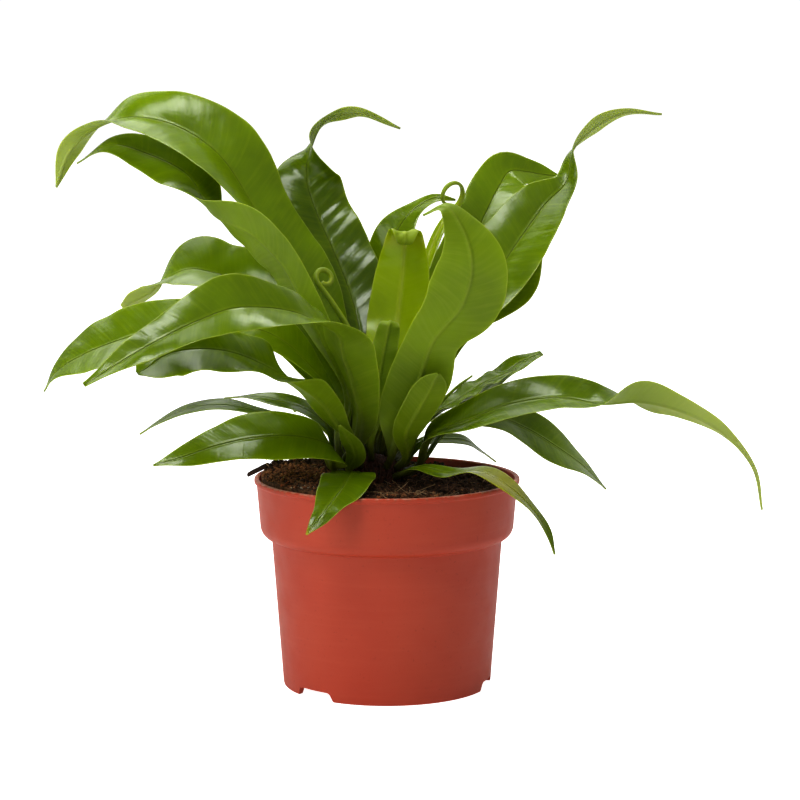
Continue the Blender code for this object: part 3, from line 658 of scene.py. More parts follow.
def underside_finish(name, deep, bright, pale, rib_colour):
    """The underside has no wax and many pores, so it is paler and duller, with its veins raised."""
    made, tree, shader = new_material(name)
    place = add_node(tree, PLACE, {}, "Object")
    across, veins = blade_marks(tree)
    light = blade_light(tree, place)
    pale_veins = add_node(tree, RANGE, {"Value": veins, "From Min": 0.4, "To Max": 0.2})
    # Painted light: the tips are painted paler underneath, standing in for light shining through the thin
    # blade
    painted_backlight = add_node(tree, NUMBER, {}, "Fac", attribute_name="painted_backlight")
    leaf = lay_colours(tree, colour(deep), (
        (light, bright), (pale_veins, pale), (painted_backlight, "#bcc878"),
        *blade_layers(tree, across, 0.2, 0.3, rib_colour, "#b4bf60")))
    # Pores are far too fine to see; they are drawn 4 mm apart, as a soft unevenness
    pores = add_node(tree, NOISE, {"Vector": place, "Scale": 1 / (4 * MM), "Detail": 1.0}, "Fac")
    gloss = add_node(
        tree, RANGE, {"Value": pores, "From Min": 0.3, "From Max": 0.7, "To Min": 0.42, "To Max": 0.55})
    swollen = add_node(tree, BUMP, {"Height": pores, "Strength": 0.1, "Distance": 0.4 * MM})
    ribbed = add_node(
        tree, BUMP, {"Height": veins, "Strength": 0.1, "Distance": 0.05 * MM, "Normal": swollen})
    set_inputs(tree, shader, {
        "Base Color": leaf, "Roughness": gloss, "Normal": ribbed, "IOR": 1.42,
        "Subsurface Weight": 0.7, "Subsurface Radius": (1.0, 1.0, 0.1), "Subsurface Scale": 1.2 * MM})
    return made


def polypropylene_finish():
    """Injection-moulded polypropylene, dyed terracotta: a satin skin with a faint cloudiness, flow
    lines that run round it, scuffs on the lip and dust from the peat just under it."""
    made, tree, shader = new_material("moulded terracotta polypropylene")
    place = add_node(tree, PLACE, {}, "Object")
    height = add_node(tree, "ShaderNodeSeparateXYZ", {"Vector": place}, "Z")
    clouds = add_node(tree, NOISE, {"Vector": place, "Scale": 1 / (40 * MM), "Detail": 3.0}, "Fac")
    cloudy = add_node(tree, RANGE, {"Value": clouds, "From Min": 0.3, "From Max": 0.7})
    # Flow lines are a fifth of a millimetre apart in the mould's steel; here they are ten times that
    flat_place = add_node(tree, "ShaderNodeMapping", {"Vector": place, "Scale": (0.06, 0.06, 1.0)})
    lines = add_node(tree, NOISE, {"Vector": flat_place, "Scale": 1 / (2.0 * MM), "Detail": 3.0}, "Fac")
    flow = add_node(tree, RANGE, {"Value": lines, "From Min": 0.5, "From Max": 0.75, "To Max": 0.16})
    specks = add_node(tree, NOISE, {"Vector": place, "Scale": 1 / (1.4 * MM), "Detail": 1.0}, "Fac")
    marks = add_node(tree, RANGE, {"Value": specks, "From Min": 0.68, "From Max": 0.76, "To Max": 0.3})
    crumbs = add_node(tree, NOISE, {"Vector": place, "Scale": 1 / (2.4 * MM), "Detail": 4.0}, "Fac")
    dusty = add_node(tree, RANGE, {"Value": crumbs, "From Min": 0.5, "From Max": 0.72, "To Max": 0.5})
    by_lip = add_node(
        tree, RANGE, {"Value": height, "From Min": (POT_HEIGHT - 3) * MM, "From Max": POT_HEIGHT * MM})
    dust = add_node(tree, MATH, {0: by_lip, 1: dusty}, operation="MULTIPLY")
    on_lip = add_node(
        tree, RANGE,
        {"Value": height, "From Min": (POT_HEIGHT - 0.7) * MM, "From Max": (POT_HEIGHT - 0.2) * MM})
    rubbed = add_node(tree, RANGE, {"Value": crumbs, "From Min": 0.42, "From Max": 0.6, "To Max": 0.75})
    scuffs = add_node(tree, MATH, {0: on_lip, 1: rubbed}, operation="MULTIPLY")
    skin = lay_colours(tree, colour("#c14c31"), (
        (cloudy, "#c65437"), (flow, "#ce6243"), (marks, "#a63e27"), (dust, "#80563c"),
        (scuffs, "#d79a80")))
    worn = add_node(tree, NOISE, {"Vector": place, "Scale": 1 / (9 * MM), "Detail": 4.0}, "Fac")
    satin = add_node(
        tree, RANGE, {"Value": worn, "From Min": 0.3, "From Max": 0.7, "To Min": 0.38, "To Max": 0.5})
    wavy = add_node(tree, BUMP, {"Height": clouds, "Strength": 0.2, "Distance": 0.8 * MM})
    lined = add_node(
        tree, BUMP, {"Height": lines, "Strength": 0.12, "Distance": 0.06 * MM, "Normal": wavy})
    set_inputs(tree, shader, {
        "Base Color": skin, "Roughness": satin, "Normal": lined, "IOR": 1.49})
    return made


def peat_finish(name, dark, mid, light, lump_mm):
    """Milled peat moss: dull, moist and dark, in lumps and shreds with dry brown tops."""
    made, tree, shader = new_material(name)
    place = add_node(tree, PLACE, {}, "Object")
    lumps = add_node(
        tree, NOISE, {"Vector": place, "Scale": 1 / (lump_mm * MM), "Detail": 4.0, "Roughness": 0.6},
        "Fac")
    shreds = add_node(
        tree, NOISE, {"Vector": place, "Scale": 1 / (1.1 * MM), "Detail": 3.0, "Roughness": 0.6},
        "Fac")
    brown = add_node(tree, RANGE, {"Value": lumps, "From Min": 0.36, "From Max": 0.62})
    dry = add_node(tree, RANGE, {"Value": shreds, "From Min": 0.55, "From Max": 0.75, "To Max": 0.75})
    # Painted light: round a spot on the left, where the light falls, the brown lumps are painted lighter
    side = add_node(tree, NUMBER, {}, "Fac", attribute_name="dry")
    painted_light_patch = add_node(tree, MATH, {0: side, 1: brown}, operation="MULTIPLY")
    rough = add_node(tree, BUMP, {"Height": shreds, "Strength": 0.8, "Distance": 0.6 * MM})
    set_inputs(tree, shader, {
        "Base Color": lay_colours(tree, colour(dark), ((brown, mid), (painted_light_patch, light), (dry, light))),
        "Roughness": 0.85, "Specular IOR Level": 0.3, "Normal": rough})
    return made


def dry_finish(name, dark, light, grain_mm, roughness):
    """Dry stuff of soil and plant, such as root fibre, scale, bark, grit or moss: matt and streaked."""
    made, tree, shader = new_material(name)
    place = add_node(tree, PLACE, {}, "Object")
    streaks = add_node(
        tree, NOISE, {"Vector": place, "Scale": 1 / (grain_mm * MM), "Detail": 4.0, "Roughness": 0.6},
        "Fac")
    share = add_node(tree, RANGE, {"Value": streaks, "From Min": 0.32, "From Max": 0.68})
    rough = add_node(tree, BUMP, {"Height": streaks, "Strength": 0.6, "Distance": 0.3 * MM})
    set_inputs(tree, shader, {
        "Base Color": lay_colours(tree, colour(dark), ((share, light),)),
        "Roughness": roughness, "IOR": 1.45, "Normal": rough})
    return made


# Pot


def rounded(points, radius, steps=4):
    """An open outline with its corners rounded to the radius, or less where a side is short."""
    points = [np.array(point, float) for point in points]
    out = [points[0]]
    for before, corner, after in zip(points, points[1:], points[2:]):
        first, second = before - corner, after - corner
        reach = min(radius, 0.45 * np.linalg.norm(first), 0.45 * np.linalg.norm(second))
        start, end = corner + unit(first) * reach, corner + unit(second) * reach
        for t in np.linspace(0, 1, steps + 1):
            out.append(start * (1 - t) ** 2 + corner * 2 * t * (1 - t) + end * t**2)
    return out + [points[-1]]


def shoulder(inset):
    """The rounded underside of the rim band, from the body out to the band's foot."""
    turns = np.radians(SHOULDER_TURNS)
    reach = BAND_FOOT_RADIUS - BODY_TOP_RADIUS - LEDGE - inset
    rise = BAND_FOOT_Z - BODY_TOP_Z - LEDGE
    radii = BODY_TOP_RADIUS + LEDGE + reach * np.sin(turns)
    heights = BODY_TOP_Z + LEDGE + rise * (1 - np.cos(turns)) + inset * np.cos(turns)
    return list(zip(radii, heights))


def pot_outline():
    """Radius and height from the middle of the underside, out and up to the lip, and back inside."""
    foot_inner = FOOT_RADIUS - FOOT_WIDTH
    outside = [
        (PAD_RADIUS, 0.0), (PAD_RADIUS + PAD_SLOPE, BASE_LIFT), (foot_inner, BASE_LIFT),
        (foot_inner, 0.0), (FOOT_RADIUS - FOOT_CHAMFER[0], 0.0), (FOOT_RADIUS, FOOT_CHAMFER[1]),
        BODY_MIDDLE, (BODY_TOP_RADIUS, BODY_TOP_Z), *shoulder(0), BAND_MIDDLE,
        (BAND_TOP_RADIUS, POT_HEIGHT - LIP_HEIGHT - LEDGE),
        (LIP_RADIUS, POT_HEIGHT - LIP_HEIGHT), (LIP_RADIUS, POT_HEIGHT),
    ]
    inside = [
        (BAND_TOP_RADIUS - WALL, POT_HEIGHT),
        *reversed(shoulder(WALL)), (BODY_TOP_RADIUS - LEDGE, BODY_TOP_Z + WALL + LEDGE),
        (BODY_TOP_RADIUS - WALL, BODY_TOP_Z + 2 * LEDGE),
        (FOOT_RADIUS - WALL, BASE_TOP_Z), (PAD_RADIUS + LEDGE, BASE_TOP_Z),
        (PAD_RADIUS + LEDGE - PAD_SLOPE, BASE_TOP_Z - BASE_LIFT),
    ]
    return rounded(outside + inside, POT_CORNER)


def cut(piece, points, faces):
    """Takes a block out of the piece for good."""
    cutter = bpy.data.objects.new("cutter", mesh_from("cutter", points, faces, smooth=False))
    bpy.context.scene.collection.objects.link(cutter)
    change = piece.modifiers.new("cut", "BOOLEAN")
    change.object = cutter
    change.operation = "DIFFERENCE"
    change.solver = "EXACT"
    bpy.context.view_layer.objects.active = piece
    bpy.ops.object.modifier_apply(modifier=change.name)
    bpy.data.objects.remove(cutter)


def notch_block(bearing):
    """A slot through the foot ring, wider at the bottom, with rounded upper corners."""
    half, low = NOTCH_WIDTH / 2, -2.0
    section = rounded(
        [(-half - NOTCH_FLARE, low), (-half, NOTCH_HEIGHT), (half, NOTCH_HEIGHT),
         (half + NOTCH_FLARE, low)], NOTCH_CORNER, 5)
    turn = math.radians(bearing)
    out = np.array([math.cos(turn), math.sin(turn), 0.0])
    side = np.array([-math.sin(turn), math.cos(turn), 0.0])
    points = []
    for reach in (FOOT_RADIUS - NOTCH_REACH / 2, FOOT_RADIUS + NOTCH_REACH / 2):
        points += [out * reach + side * across + (0, 0, z) for across, z in section]
    count = len(section)
    faces = [tuple(range(count)), tuple(range(2 * count - 1, count - 1, -1))]
    for step in range(count):
        after = (step + 1) % count
        faces.append((step, step + count, after + count, after))
    return points, faces


def make_pot():
    """The turned wall and base, with notches cut through the foot ring and holes through the base."""
    outline = pot_outline()
    rings = [circle(radius, z, POT_SIDES) for radius, z in outline]
    points = np.vstack([[(0, 0, 0)], *rings, [(0, 0, BASE_TOP_Z - BASE_LIFT)]])
    mesh = mesh_from("nursery_pot", points, skin_faces(POT_SIDES, len(rings)))
    pot = add_piece("nursery_pot", mesh, [polypropylene_finish()], ["pot"])
    for bearing in NOTCH_BEARINGS:
        cut(pot, *notch_block(bearing))
    for hole in range(DRAIN_COUNT):
        turn = (hole + 0.5) * 2 * math.pi / DRAIN_COUNT
        centre = (DRAIN_RING_RADIUS * math.cos(turn), DRAIN_RING_RADIUS * math.sin(turn))
        below, above = -5.0, 2 * BASE_TOP_Z
        low = circle(DRAIN_DIAMETER / 2, below, DRAIN_SIDES, centre)
        high = circle(DRAIN_DIAMETER / 2, above, DRAIN_SIDES, centre)
        drill = np.vstack([[(*centre, below)], low, high, [(*centre, above)]])
        cut(pot, drill, skin_faces(DRAIN_SIDES, 2))
    pot.data.set_sharp_from_angle(angle=math.radians(40))


# Peat


def crumb(x, y):
    """Lumps of two sizes, between about -1 and 1."""
    coarse = np.sin(0.31 * x + 1.9 * np.sin(0.17 * y)) * np.sin(0.29 * y + 1.7 * np.sin(0.19 * x))
    fine = np.sin(0.83 * x + 0.5 * y + 2.0) * np.sin(0.77 * y - 0.4 * x + 1.0)
    return 0.6 * coarse + 0.4 * fine


def peat_top(x, y):
    """Height of the peat, which falls towards the lip at the wall."""
    level = PEAT_LEVEL + PEAT_SLOPE * x
    at_wall = POT_HEIGHT + PEAT_OVER_LIP
    near_wall = np.clip((np.hypot(x, y) - PEAT_WALL_START) / PEAT_WALL_BLEND, 0, 1)
    level = level - np.clip(level - at_wall, 0, None) * near_wall**1.5
    from_crown = np.hypot(x - CROWN_CENTRE[0], y - CROWN_CENTRE[1]) - CROWN_RADIUS
    level = level - PEAT_DISH * np.exp(-(from_crown / PEAT_DISH_WIDTH) ** 2)
    return level + PEAT_CRUMB * crumb(x, y) * (1 - 0.8 * near_wall)


def wall_radius(z):
    """Radius of the pot's inner wall at a height in its rim band."""
    share = (z - BAND_FOOT_Z) / (POT_HEIGHT - BAND_FOOT_Z)
    return BAND_FOOT_RADIUS - WALL + share * (BAND_TOP_RADIUS - BAND_FOOT_RADIUS)


def make_peat(draw):
    """The bed of peat, its top broken into fine lumps."""
    wall = wall_radius(PEAT_INSET_Z) - PEAT_TOP_CLEAR
    rings = [
        circle(FOOT_RADIUS - WALL - PEAT_CLEAR, BASE_TOP_Z + GAP, PEAT_SIDES),
        circle(BODY_TOP_RADIUS - WALL - PEAT_CLEAR, BODY_TOP_Z, PEAT_SIDES),
        circle(BODY_TOP_RADIUS - WALL - PEAT_CLEAR, BODY_TOP_Z + 2 * WALL, PEAT_SIDES),
        circle(BAND_FOOT_RADIUS - 2 * WALL - PEAT_CLEAR, BAND_FOOT_Z - WALL, PEAT_SIDES),
        circle(BAND_FOOT_RADIUS - WALL - PEAT_CLEAR, BAND_FOOT_Z + WALL + PEAT_CLEAR, PEAT_SIDES),
    ]
    outer = circle(wall, 0, PEAT_SIDES)
    inner = circle(PEAT_HOLE_RADIUS, 0, PEAT_SIDES, CROWN_CENTRE)
    for share in np.linspace(0, 1, PEAT_RINGS + 1):
        ring = outer + (inner - outer) * share
        ring[:, 2] = peat_top(ring[:, 0], ring[:, 1])
        ring[:, 2] += PEAT_GRAIN * (draw.random(PEAT_SIDES) - 0.5) * 2 * min(1, 8 * share)
        ring[:, :2] += (draw.random((PEAT_SIDES, 2)) - 0.5) * PEAT_SHIFT * min(1, 8 * share)
        rings.append(ring)
    rings.append(circle(PEAT_HOLE_RADIUS, CROWN_ROOT_Z - GAP, PEAT_SIDES, CROWN_CENTRE))
    points = np.vstack([
        [(0, 0, BASE_TOP_Z + GAP)], *rings, [(*CROWN_CENTRE[:2], CROWN_ROOT_Z - GAP)]])
    mesh = mesh_from("peat_bed", points, skin_faces(PEAT_SIDES, len(rings)))
    # Painted light: the number named dry is how much painted light falls on each point, round a spot on
    # the left
    away = (points[:, :2] - PAINTED_LIGHT_SPOT) / PAINTED_LIGHT_SPREAD
    add_numbers(mesh, "dry", np.exp(-0.35 * np.sum(away**2, axis=1)))
    add_piece(
        "peat_bed", mesh, [peat_finish("moist milled peat", "#23150c", "#553821", "#9c7450", 3.5)],
        ["peat"])


# A crumb of ten corners
LUMP = (
    (0, 0, 1), (0.9, 0, 0.25), (0.2, 0.95, 0.3), (-0.85, 0.35, 0.2), (-0.5, -0.8, 0.3),
    (0.5, -0.75, 0.2), (0.55, 0.5, -0.6), (-0.6, 0.3, -0.7), (0.1, -0.7, -0.75), (0, 0, -1))
LUMP_FACES = (
    (0, 1, 2), (0, 2, 3), (0, 3, 4), (0, 4, 5), (0, 5, 1), (1, 6, 2), (2, 6, 7), (2, 7, 3),
    (3, 7, 4), (4, 7, 8), (4, 8, 5), (5, 8, 1), (1, 8, 6), (6, 9, 7), (7, 9, 8), (8, 9, 6))


def clear_of_crown(x, y):
    return np.hypot(x - CROWN_CENTRE[0], y - CROWN_CENTRE[1]) > PEAT_HOLE_RADIUS


def on_peat(draw, count):
    """Places spread over the top of the peat; more are drawn, as those on the crown are dropped."""
    radius = SCATTER_RADIUS * np.sqrt(draw.random(4 * count))
    turn = draw.random(4 * count) * 2 * math.pi
    x, y = radius * np.cos(turn), radius * np.sin(turn)
    clear = clear_of_crown(x, y)
    x, y = x[clear][:count], y[clear][:count]
    return np.column_stack([x, y, peat_top(x, y)])


def heaped(draw, count, spot, spread, height=0.0):
    """Places gathered around a spot of the peat, the middle ones lifted into a heap."""
    x, y = (draw.normal(size=(count, 2)) * spread + spot).T
    kept = clear_of_crown(x, y) & (np.hypot(x, y) < HEAP_RADIUS)
    x, y = x[kept], y[kept]
    off = ((x - spot[0]) / spread[0]) ** 2 + ((y - spot[1]) / spread[1]) ** 2
    lift = height * np.exp(-0.5 * off) * draw.random(len(x))
    return np.column_stack([x, y, peat_top(x, y) + lift])


def spin(draw):
    """A rotation at random."""
    axis, angle = unit(draw.normal(size=3)), draw.random() * 2 * math.pi
    cross = np.array([
        [0, -axis[2], axis[1]], [axis[2], 0, -axis[0]], [-axis[1], axis[0], 0]])
    return np.eye(3) + math.sin(angle) * cross + (1 - math.cos(angle)) * cross @ cross


def make_lumps(draw, name, places, smallest, largest, finish, flat=0.7):
    """Many small rough lumps in one piece."""
    shape = np.array(LUMP)
    points, faces = [], []
    for place in places:
        size = smallest + (largest - smallest) * draw.random() ** 3
        rough = shape * (1 + 0.35 * (draw.random((len(shape), 1)) - 0.5))
        lump = rough * size * (1, 0.5 + 0.5 * draw.random(), flat) @ spin(draw).T
        faces += [tuple(len(points) + corner for corner in face) for face in LUMP_FACES]
        points += list(lump + place + (0, 0, 0.25 * size))
    add_piece(name, mesh_from(name, points, faces, smooth=False), [finish])


def make_fibres(draw, name, places, thickness, length, lift, finish):
    """Bent shreds of moss and root, each a thin three-sided rod, in one piece."""
    points, faces = [], []
    for place in places:
        turn = draw.random() * 2 * math.pi
        heading = unit(np.array([math.cos(turn), math.sin(turn), (draw.random() - 0.35) * lift]))
        bend = draw.normal(size=3) * (0.35, 0.35, 0.25)
        run = length * (0.4 + 0.9 * draw.random()) / FIBRE_STEPS
        spot = np.array(place) + (0, 0, FIBRE_CLEAR)
        start = len(points)
        for step in range(FIBRE_STEPS + 1):
            side = unit(np.cross(heading, (0.1, 0.2, 1.0)))
            up = np.cross(side, heading)
            thick = thickness * (0.6 + 0.5 * math.sin(math.pi * (step + 1) / (FIBRE_STEPS + 2)))
            for corner in range(3):
                angle = corner * 2 * math.pi / 3
                points.append(spot + (side * math.cos(angle) + up * math.sin(angle)) * thick / 2)
            spot = spot + heading * run
            heading = unit(heading + bend * 0.3 + (0, 0, -0.05))
            floor = peat_top(spot[0], spot[1]) + FIBRE_CLEAR
            reach = np.hypot(spot[0], spot[1])
            if spot[2] < floor or reach > FIBRE_RADIUS:
                spot[:2] *= min(1.0, FIBRE_RADIUS / reach)
                spot[2] = max(spot[2], floor)
        for step in range(FIBRE_STEPS):
            for corner in range(3):
                a, b = start + 3 * step + corner, start + 3 * step + (corner + 1) % 3
                faces.append((a, b, b + 3, a + 3))
        end = start + 3 * FIBRE_STEPS
        faces += [(start, start + 1, start + 2), (end, end + 1, end + 2)]
    add_piece(name, mesh_from(name, points, faces), [finish])


def make_litter(draw):
    """What lies loose on the peat: crumbs, grit, bark fines, moss, and shreds of fibre and root."""
    crumb_dark = peat_finish("dark peat crumbs", "#24150c", "#4e331e", "#7c593b", 2.0)
    crumb_brown = peat_finish("dry peat crumbs", "#66412a", "#a47048", "#d2a678", 1.6)
    by_bark = heaped(draw, *CRUMBS_BY_BARK)
    scattered = on_peat(draw, CRUMB_COUNT)
    make_lumps(draw, "crumbs_dark", np.vstack([scattered, by_bark]), 0.3, 1.5, crumb_dark)
    # Pale crumbs lie all over, and are heaped thickly round the spot on the left as painted light
    left = heaped(draw, *CRUMBS_HEAPED_AS_PAINTED_LIGHT)
    front = heaped(draw, *CRUMBS_IN_FRONT)
    dry = np.vstack([on_peat(draw, CRUMB_COUNT // 5), left, front])
    make_lumps(draw, "crumbs_dry", dry, 0.3, 1.3, crumb_brown)
    grit = dry_finish("pale mineral grit", "#8d8270", "#cbbfa8", 0.8, 0.8)
    by_lip = heaped(draw, *GRIT_BY_LIP)
    make_lumps(draw, "grit", np.vstack([on_peat(draw, GRIT_COUNT), by_lip]), 0.25, 0.8, grit)
    fines = dry_finish("red bark fines", "#7a3f1c", "#b06a34", 1.0, 0.8)
    chips = np.vstack([on_peat(draw, BARK_FINES_COUNT), heaped(draw, *FINES_BY_LIP)])
    make_lumps(draw, "bark_fines", chips, 0.6, 1.3, fines)
    moss = dry_finish("cushion moss", "#12180a", "#36401c", 0.7, 0.9)
    make_lumps(draw, "moss", heaped(draw, *MOSS_TUFT), 0.4, 1.3, moss)
    fibre = dry_finish("peat moss fibre", "#5a3a24", "#9c7550", 2.0, 0.8)
    shreds = np.vstack([on_peat(draw, FIBRE_COUNT), heaped(draw, *FIBRES_IN_FRONT)])
    make_fibres(draw, "fibres_brown", shreds, 0.3, 6.0, 0.6, fibre)
    straw = dry_finish("dry root fibre", "#9a7c58", "#d0b288", 2.0, 0.7)
    roots = np.vstack([on_peat(draw, FIBRE_COUNT // 8), heaped(draw, *ROOTS_IN_FRONT)])
    make_fibres(draw, "fibres_pale", roots, 0.28, 8.0, 1.0, straw)


# Crown


def crown_point(bearing, elevation, reach=1.0):
    """A place on the crown's dome, or on a smaller one inside it, and the way out from there."""
    out = np.array([
        math.cos(elevation) * math.cos(bearing),
        math.cos(elevation) * math.sin(bearing),
        math.sin(elevation),
    ])
    size = np.array([CROWN_RADIUS, CROWN_RADIUS, CROWN_RISE])
    return np.array(CROWN_CENTRE) + out * size * reach, unit(out / size)


def make_crown(draw):
    """A dark heart under a thatch of narrow pointed scales, which lie upwards and outwards."""
    rings = [circle(CROWN_RADIUS * CROWN_CORE, CROWN_ROOT_Z, CORE_SIDES, CROWN_CENTRE)]
    for elevation in np.radians(np.arange(-8, 84, 6)):
        reach = CROWN_CORE * math.cos(elevation)
        height = CROWN_CENTRE[2] + CROWN_RISE * CROWN_CORE * math.sin(elevation)
        rings.append(circle(CROWN_RADIUS * reach, height, CORE_SIDES, CROWN_CENTRE))
    points = np.vstack([
        [(*CROWN_CENTRE[:2], CROWN_ROOT_Z)], *rings,
        [(*CROWN_CENTRE[:2], CROWN_CENTRE[2] + CROWN_RISE * CROWN_CORE)]])
    core = mesh_from("crown_heart", points, skin_faces(CORE_SIDES, len(rings)))
    heart = dry_finish("rhizome flesh", "#120b07", "#2a180e", 1.5, 0.8)
    add_piece("crown_heart", core, [heart], ["rhizome_crown"])
    points, faces = [], []
    for number in range(SCALE_COUNT):
        bearing = number * SCALE_TURN + 0.2 * draw.random()
        elevation = math.asin(-0.1 + 1.08 * (number + 0.5) / SCALE_COUNT)
        seat, normal = crown_point(bearing, elevation, CROWN_CORE - SCALE_SINK)
        rise = unit(np.array([0, 0, 1.0]) - normal * normal[2] + 1e-6)
        lean = draw.normal() * SCALE_LEAN
        side = unit(np.cross(rise, normal))
        rise = unit(rise * math.cos(lean) + side * math.sin(lean))
        side = np.cross(rise, normal)
        length = SCALE_LENGTH * (0.6 + 0.5 * draw.random())
        start = len(points)
        for share, wide, lift in SCALE_ROWS:
            spine = seat + rise * length * share + normal * lift * (0.3 + 0.5 * draw.random())
            half = SCALE_WIDTH / 2 * wide
            points += [
                spine - side * half, spine + normal * SCALE_RIDGE,
                spine + side * half, spine - normal * SCALE_BELLY]
        for low in (start, start + 4, start + 8):
            for a, b in ((0, 1), (1, 2), (2, 3), (3, 0)):
                faces.append((low + a, low + b, low + 4 + b, low + 4 + a))
        end = start + 12
        faces += [(start, start + 1, start + 2, start + 3), (end, end + 1, end + 2, end + 3)]
    scales = dry_finish("papery rhizome scales", "#2a140b", "#6a3a22", 1.4, 0.6)
    add_piece("crown_scales", mesh_from("crown_scales", points, faces), [scales])


def make_bark():
    """A long flake of pine bark, its faces split along the grain, leaning on the lip."""
    lower = rounded([*BARK_OUTLINE, BARK_OUTLINE[0]], BARK_CORNER, 3)[:-1]
    lower = np.array([(x, y, 0.0) for x, y in lower])
    rise = math.radians(BARK_RISE)
    lean = np.array([
        [math.cos(rise), 0, math.sin(rise)], [0, 1, 0], [-math.sin(rise), 0, math.cos(rise)]])
    seat = np.array([*BARK_PLACE, POT_HEIGHT + GAP / math.cos(rise)])
    rings = []
    for level, (height, reach) in enumerate(BARK_LAYERS):
        ring = lower * (0.5 + reach / 2, reach, 1) + (0, 0, height)
        ring[:, 2] += 0.1 * np.sin(5 * lower[:, 1] + level) + 0.06 * np.sin(3 * lower[:, 0] + level)
        ring[:, 2] = np.clip(ring[:, 2], 0, None)
        rings.append(ring @ lean + seat)
    for share in (0.6, 0.35):
        ring = lower * share * BARK_TAPER + (0, 0, BARK_THICKNESS)
        ring[:, 2] += 0.2 * np.sin(4 * lower[:, 1]) + BARK_BULGE * 0.3
        rings.append(ring @ lean + seat)
    top = seat + np.array([0, 0, BARK_THICKNESS + BARK_BULGE * 0.6]) @ lean
    points = np.vstack([[seat], *rings, [top]])
    mesh = mesh_from("bark_flake", points, skin_faces(len(lower), len(rings)))
    bark = dry_finish("pine bark", "#1c120c", "#4a3226", 1.2, 0.85)
    add_piece("bark_flake", mesh, [bark], ["bark_chip"])


# Fronds


def smooth_rows(knots, steps=12):
    """Rows on a smooth curve through the knots, whose first three numbers are a place."""
    knots = np.array(knots, float)
    span = np.linalg.norm(np.diff(knots[:, :3], axis=0), axis=1)[:, None]
    slope = np.diff(knots, axis=0) / span
    middle = (slope[:-1] * span[1:] + slope[1:] * span[:-1]) / (span[:-1] + span[1:])
    heading = np.vstack([slope[:1], middle, slope[-1:]])
    rows = []
    for i in range(len(span)):
        for t in np.arange(steps) / steps:
            rows.append(
                knots[i] * (1 + 2 * t) * (1 - t) ** 2
                + heading[i] * span[i] * t * (1 - t) ** 2
                + knots[i + 1] * t**2 * (3 - 2 * t)
                + heading[i + 1] * span[i] * t**2 * (t - 1)
            )
    rows.append(knots[-1])
    return np.array(rows)


def root_rows(frond):
    """Where the frond meets the crown, sunk into its scales, and a point straight out from there."""
    bearing, elevation = np.radians(frond.root)
    foot, normal = crown_point(bearing, elevation)
    first = foot + normal * (GAP + TINY)
    return [(*first, 0.0, STIPE_WIDTH), (*(first + normal * FIRST_RUN), 0.0, STIPE_WIDTH)]


def frond_course(frond):
    """Rows along the midrib: millimetres from the root, place, directions across and up, half width."""
    rows = smooth_rows(root_rows(frond) + list(frond.path))
    places = rows[:, :3]
    along = unit(np.gradient(places, axis=0))
    bearing = math.radians(frond.root[0])
    across = np.array([math.sin(bearing), -math.cos(bearing), 0.0])
    sides = []
    for heading, turn in zip(along, np.radians(rows[:, 3])):
        across = unit(across - heading * (across @ heading))
        up = np.cross(across, heading)
        sides.append(across * math.cos(turn) + up * math.sin(turn))
    sides = np.array(sides)
    halves = np.maximum(rows[:, 4], TIP_WIDTH) / 2
    if frond.curl:
        radius, turns = frond.curl
        heading, side, place = along[-1], sides[-1], places[-1]
        steps = math.ceil(turns * 48)
        angle = 2 * math.pi * turns / steps
        more = []
        for step in range(steps):
            up = np.cross(side, heading)
            heading = unit(heading * math.cos(angle) + up * math.sin(angle))
            place = place + heading * angle * radius * (1 - CURL_TIGHTENING * step / steps)
            more.append(place)
        places = np.vstack([places, more])
        sides = np.vstack([sides, np.tile(side, (steps, 1))])
        halves = np.concatenate([halves, np.linspace(halves[-1], TIP_WIDTH, steps + 1)[1:]])
    reach = np.concatenate([[0], np.cumsum(np.linalg.norm(np.diff(places, axis=0), axis=1))])
    straight = reach[len(rows) - 1]
    at = np.linspace(0, straight, math.ceil(straight / ROW_SPACING) + 1)
    if frond.curl:
        at = np.concatenate([at, np.linspace(straight, reach[-1], CURL_ROWS + 1)[1:]])
    places = np.column_stack([np.interp(at, reach, places[:, k]) for k in range(3)])
    sides = np.column_stack([np.interp(at, reach, sides[:, k]) for k in range(3)])
    halves = np.interp(at, reach, halves)
    along = unit(np.gradient(places, axis=0))
    sides = unit(sides - along * np.sum(sides * along, axis=1)[:, None])
    return at, places, sides, np.cross(sides, along), halves


def columns_of(halves):
    """Distances from the midrib for each row: close together at the rib and at the margin."""
    near = [np.minimum(mm, halves * 0.04 * (k + 1)) for k, mm in enumerate(RIB_COLUMNS)]
    body = [halves * share for share in BLADE_COLUMNS]
    rim = [np.maximum(halves - mm, halves * (0.9 + 0.05 * k)) for k, mm in enumerate(MARGIN_COLUMNS)]
    right = np.stack([*near, *body, *rim, halves], axis=1)
    return np.hstack([-right[:, ::-1], np.zeros((len(halves), 1)), right])


def waves(draw, values, spacing, count=4):
    """A smooth wander between about -1 and 1 over values in mm."""
    total = np.zeros_like(values)
    for _ in range(count):
        total += np.sin(2 * math.pi * (values / (spacing * (0.6 + 0.9 * draw.random())) + draw.random()))
    return total / count


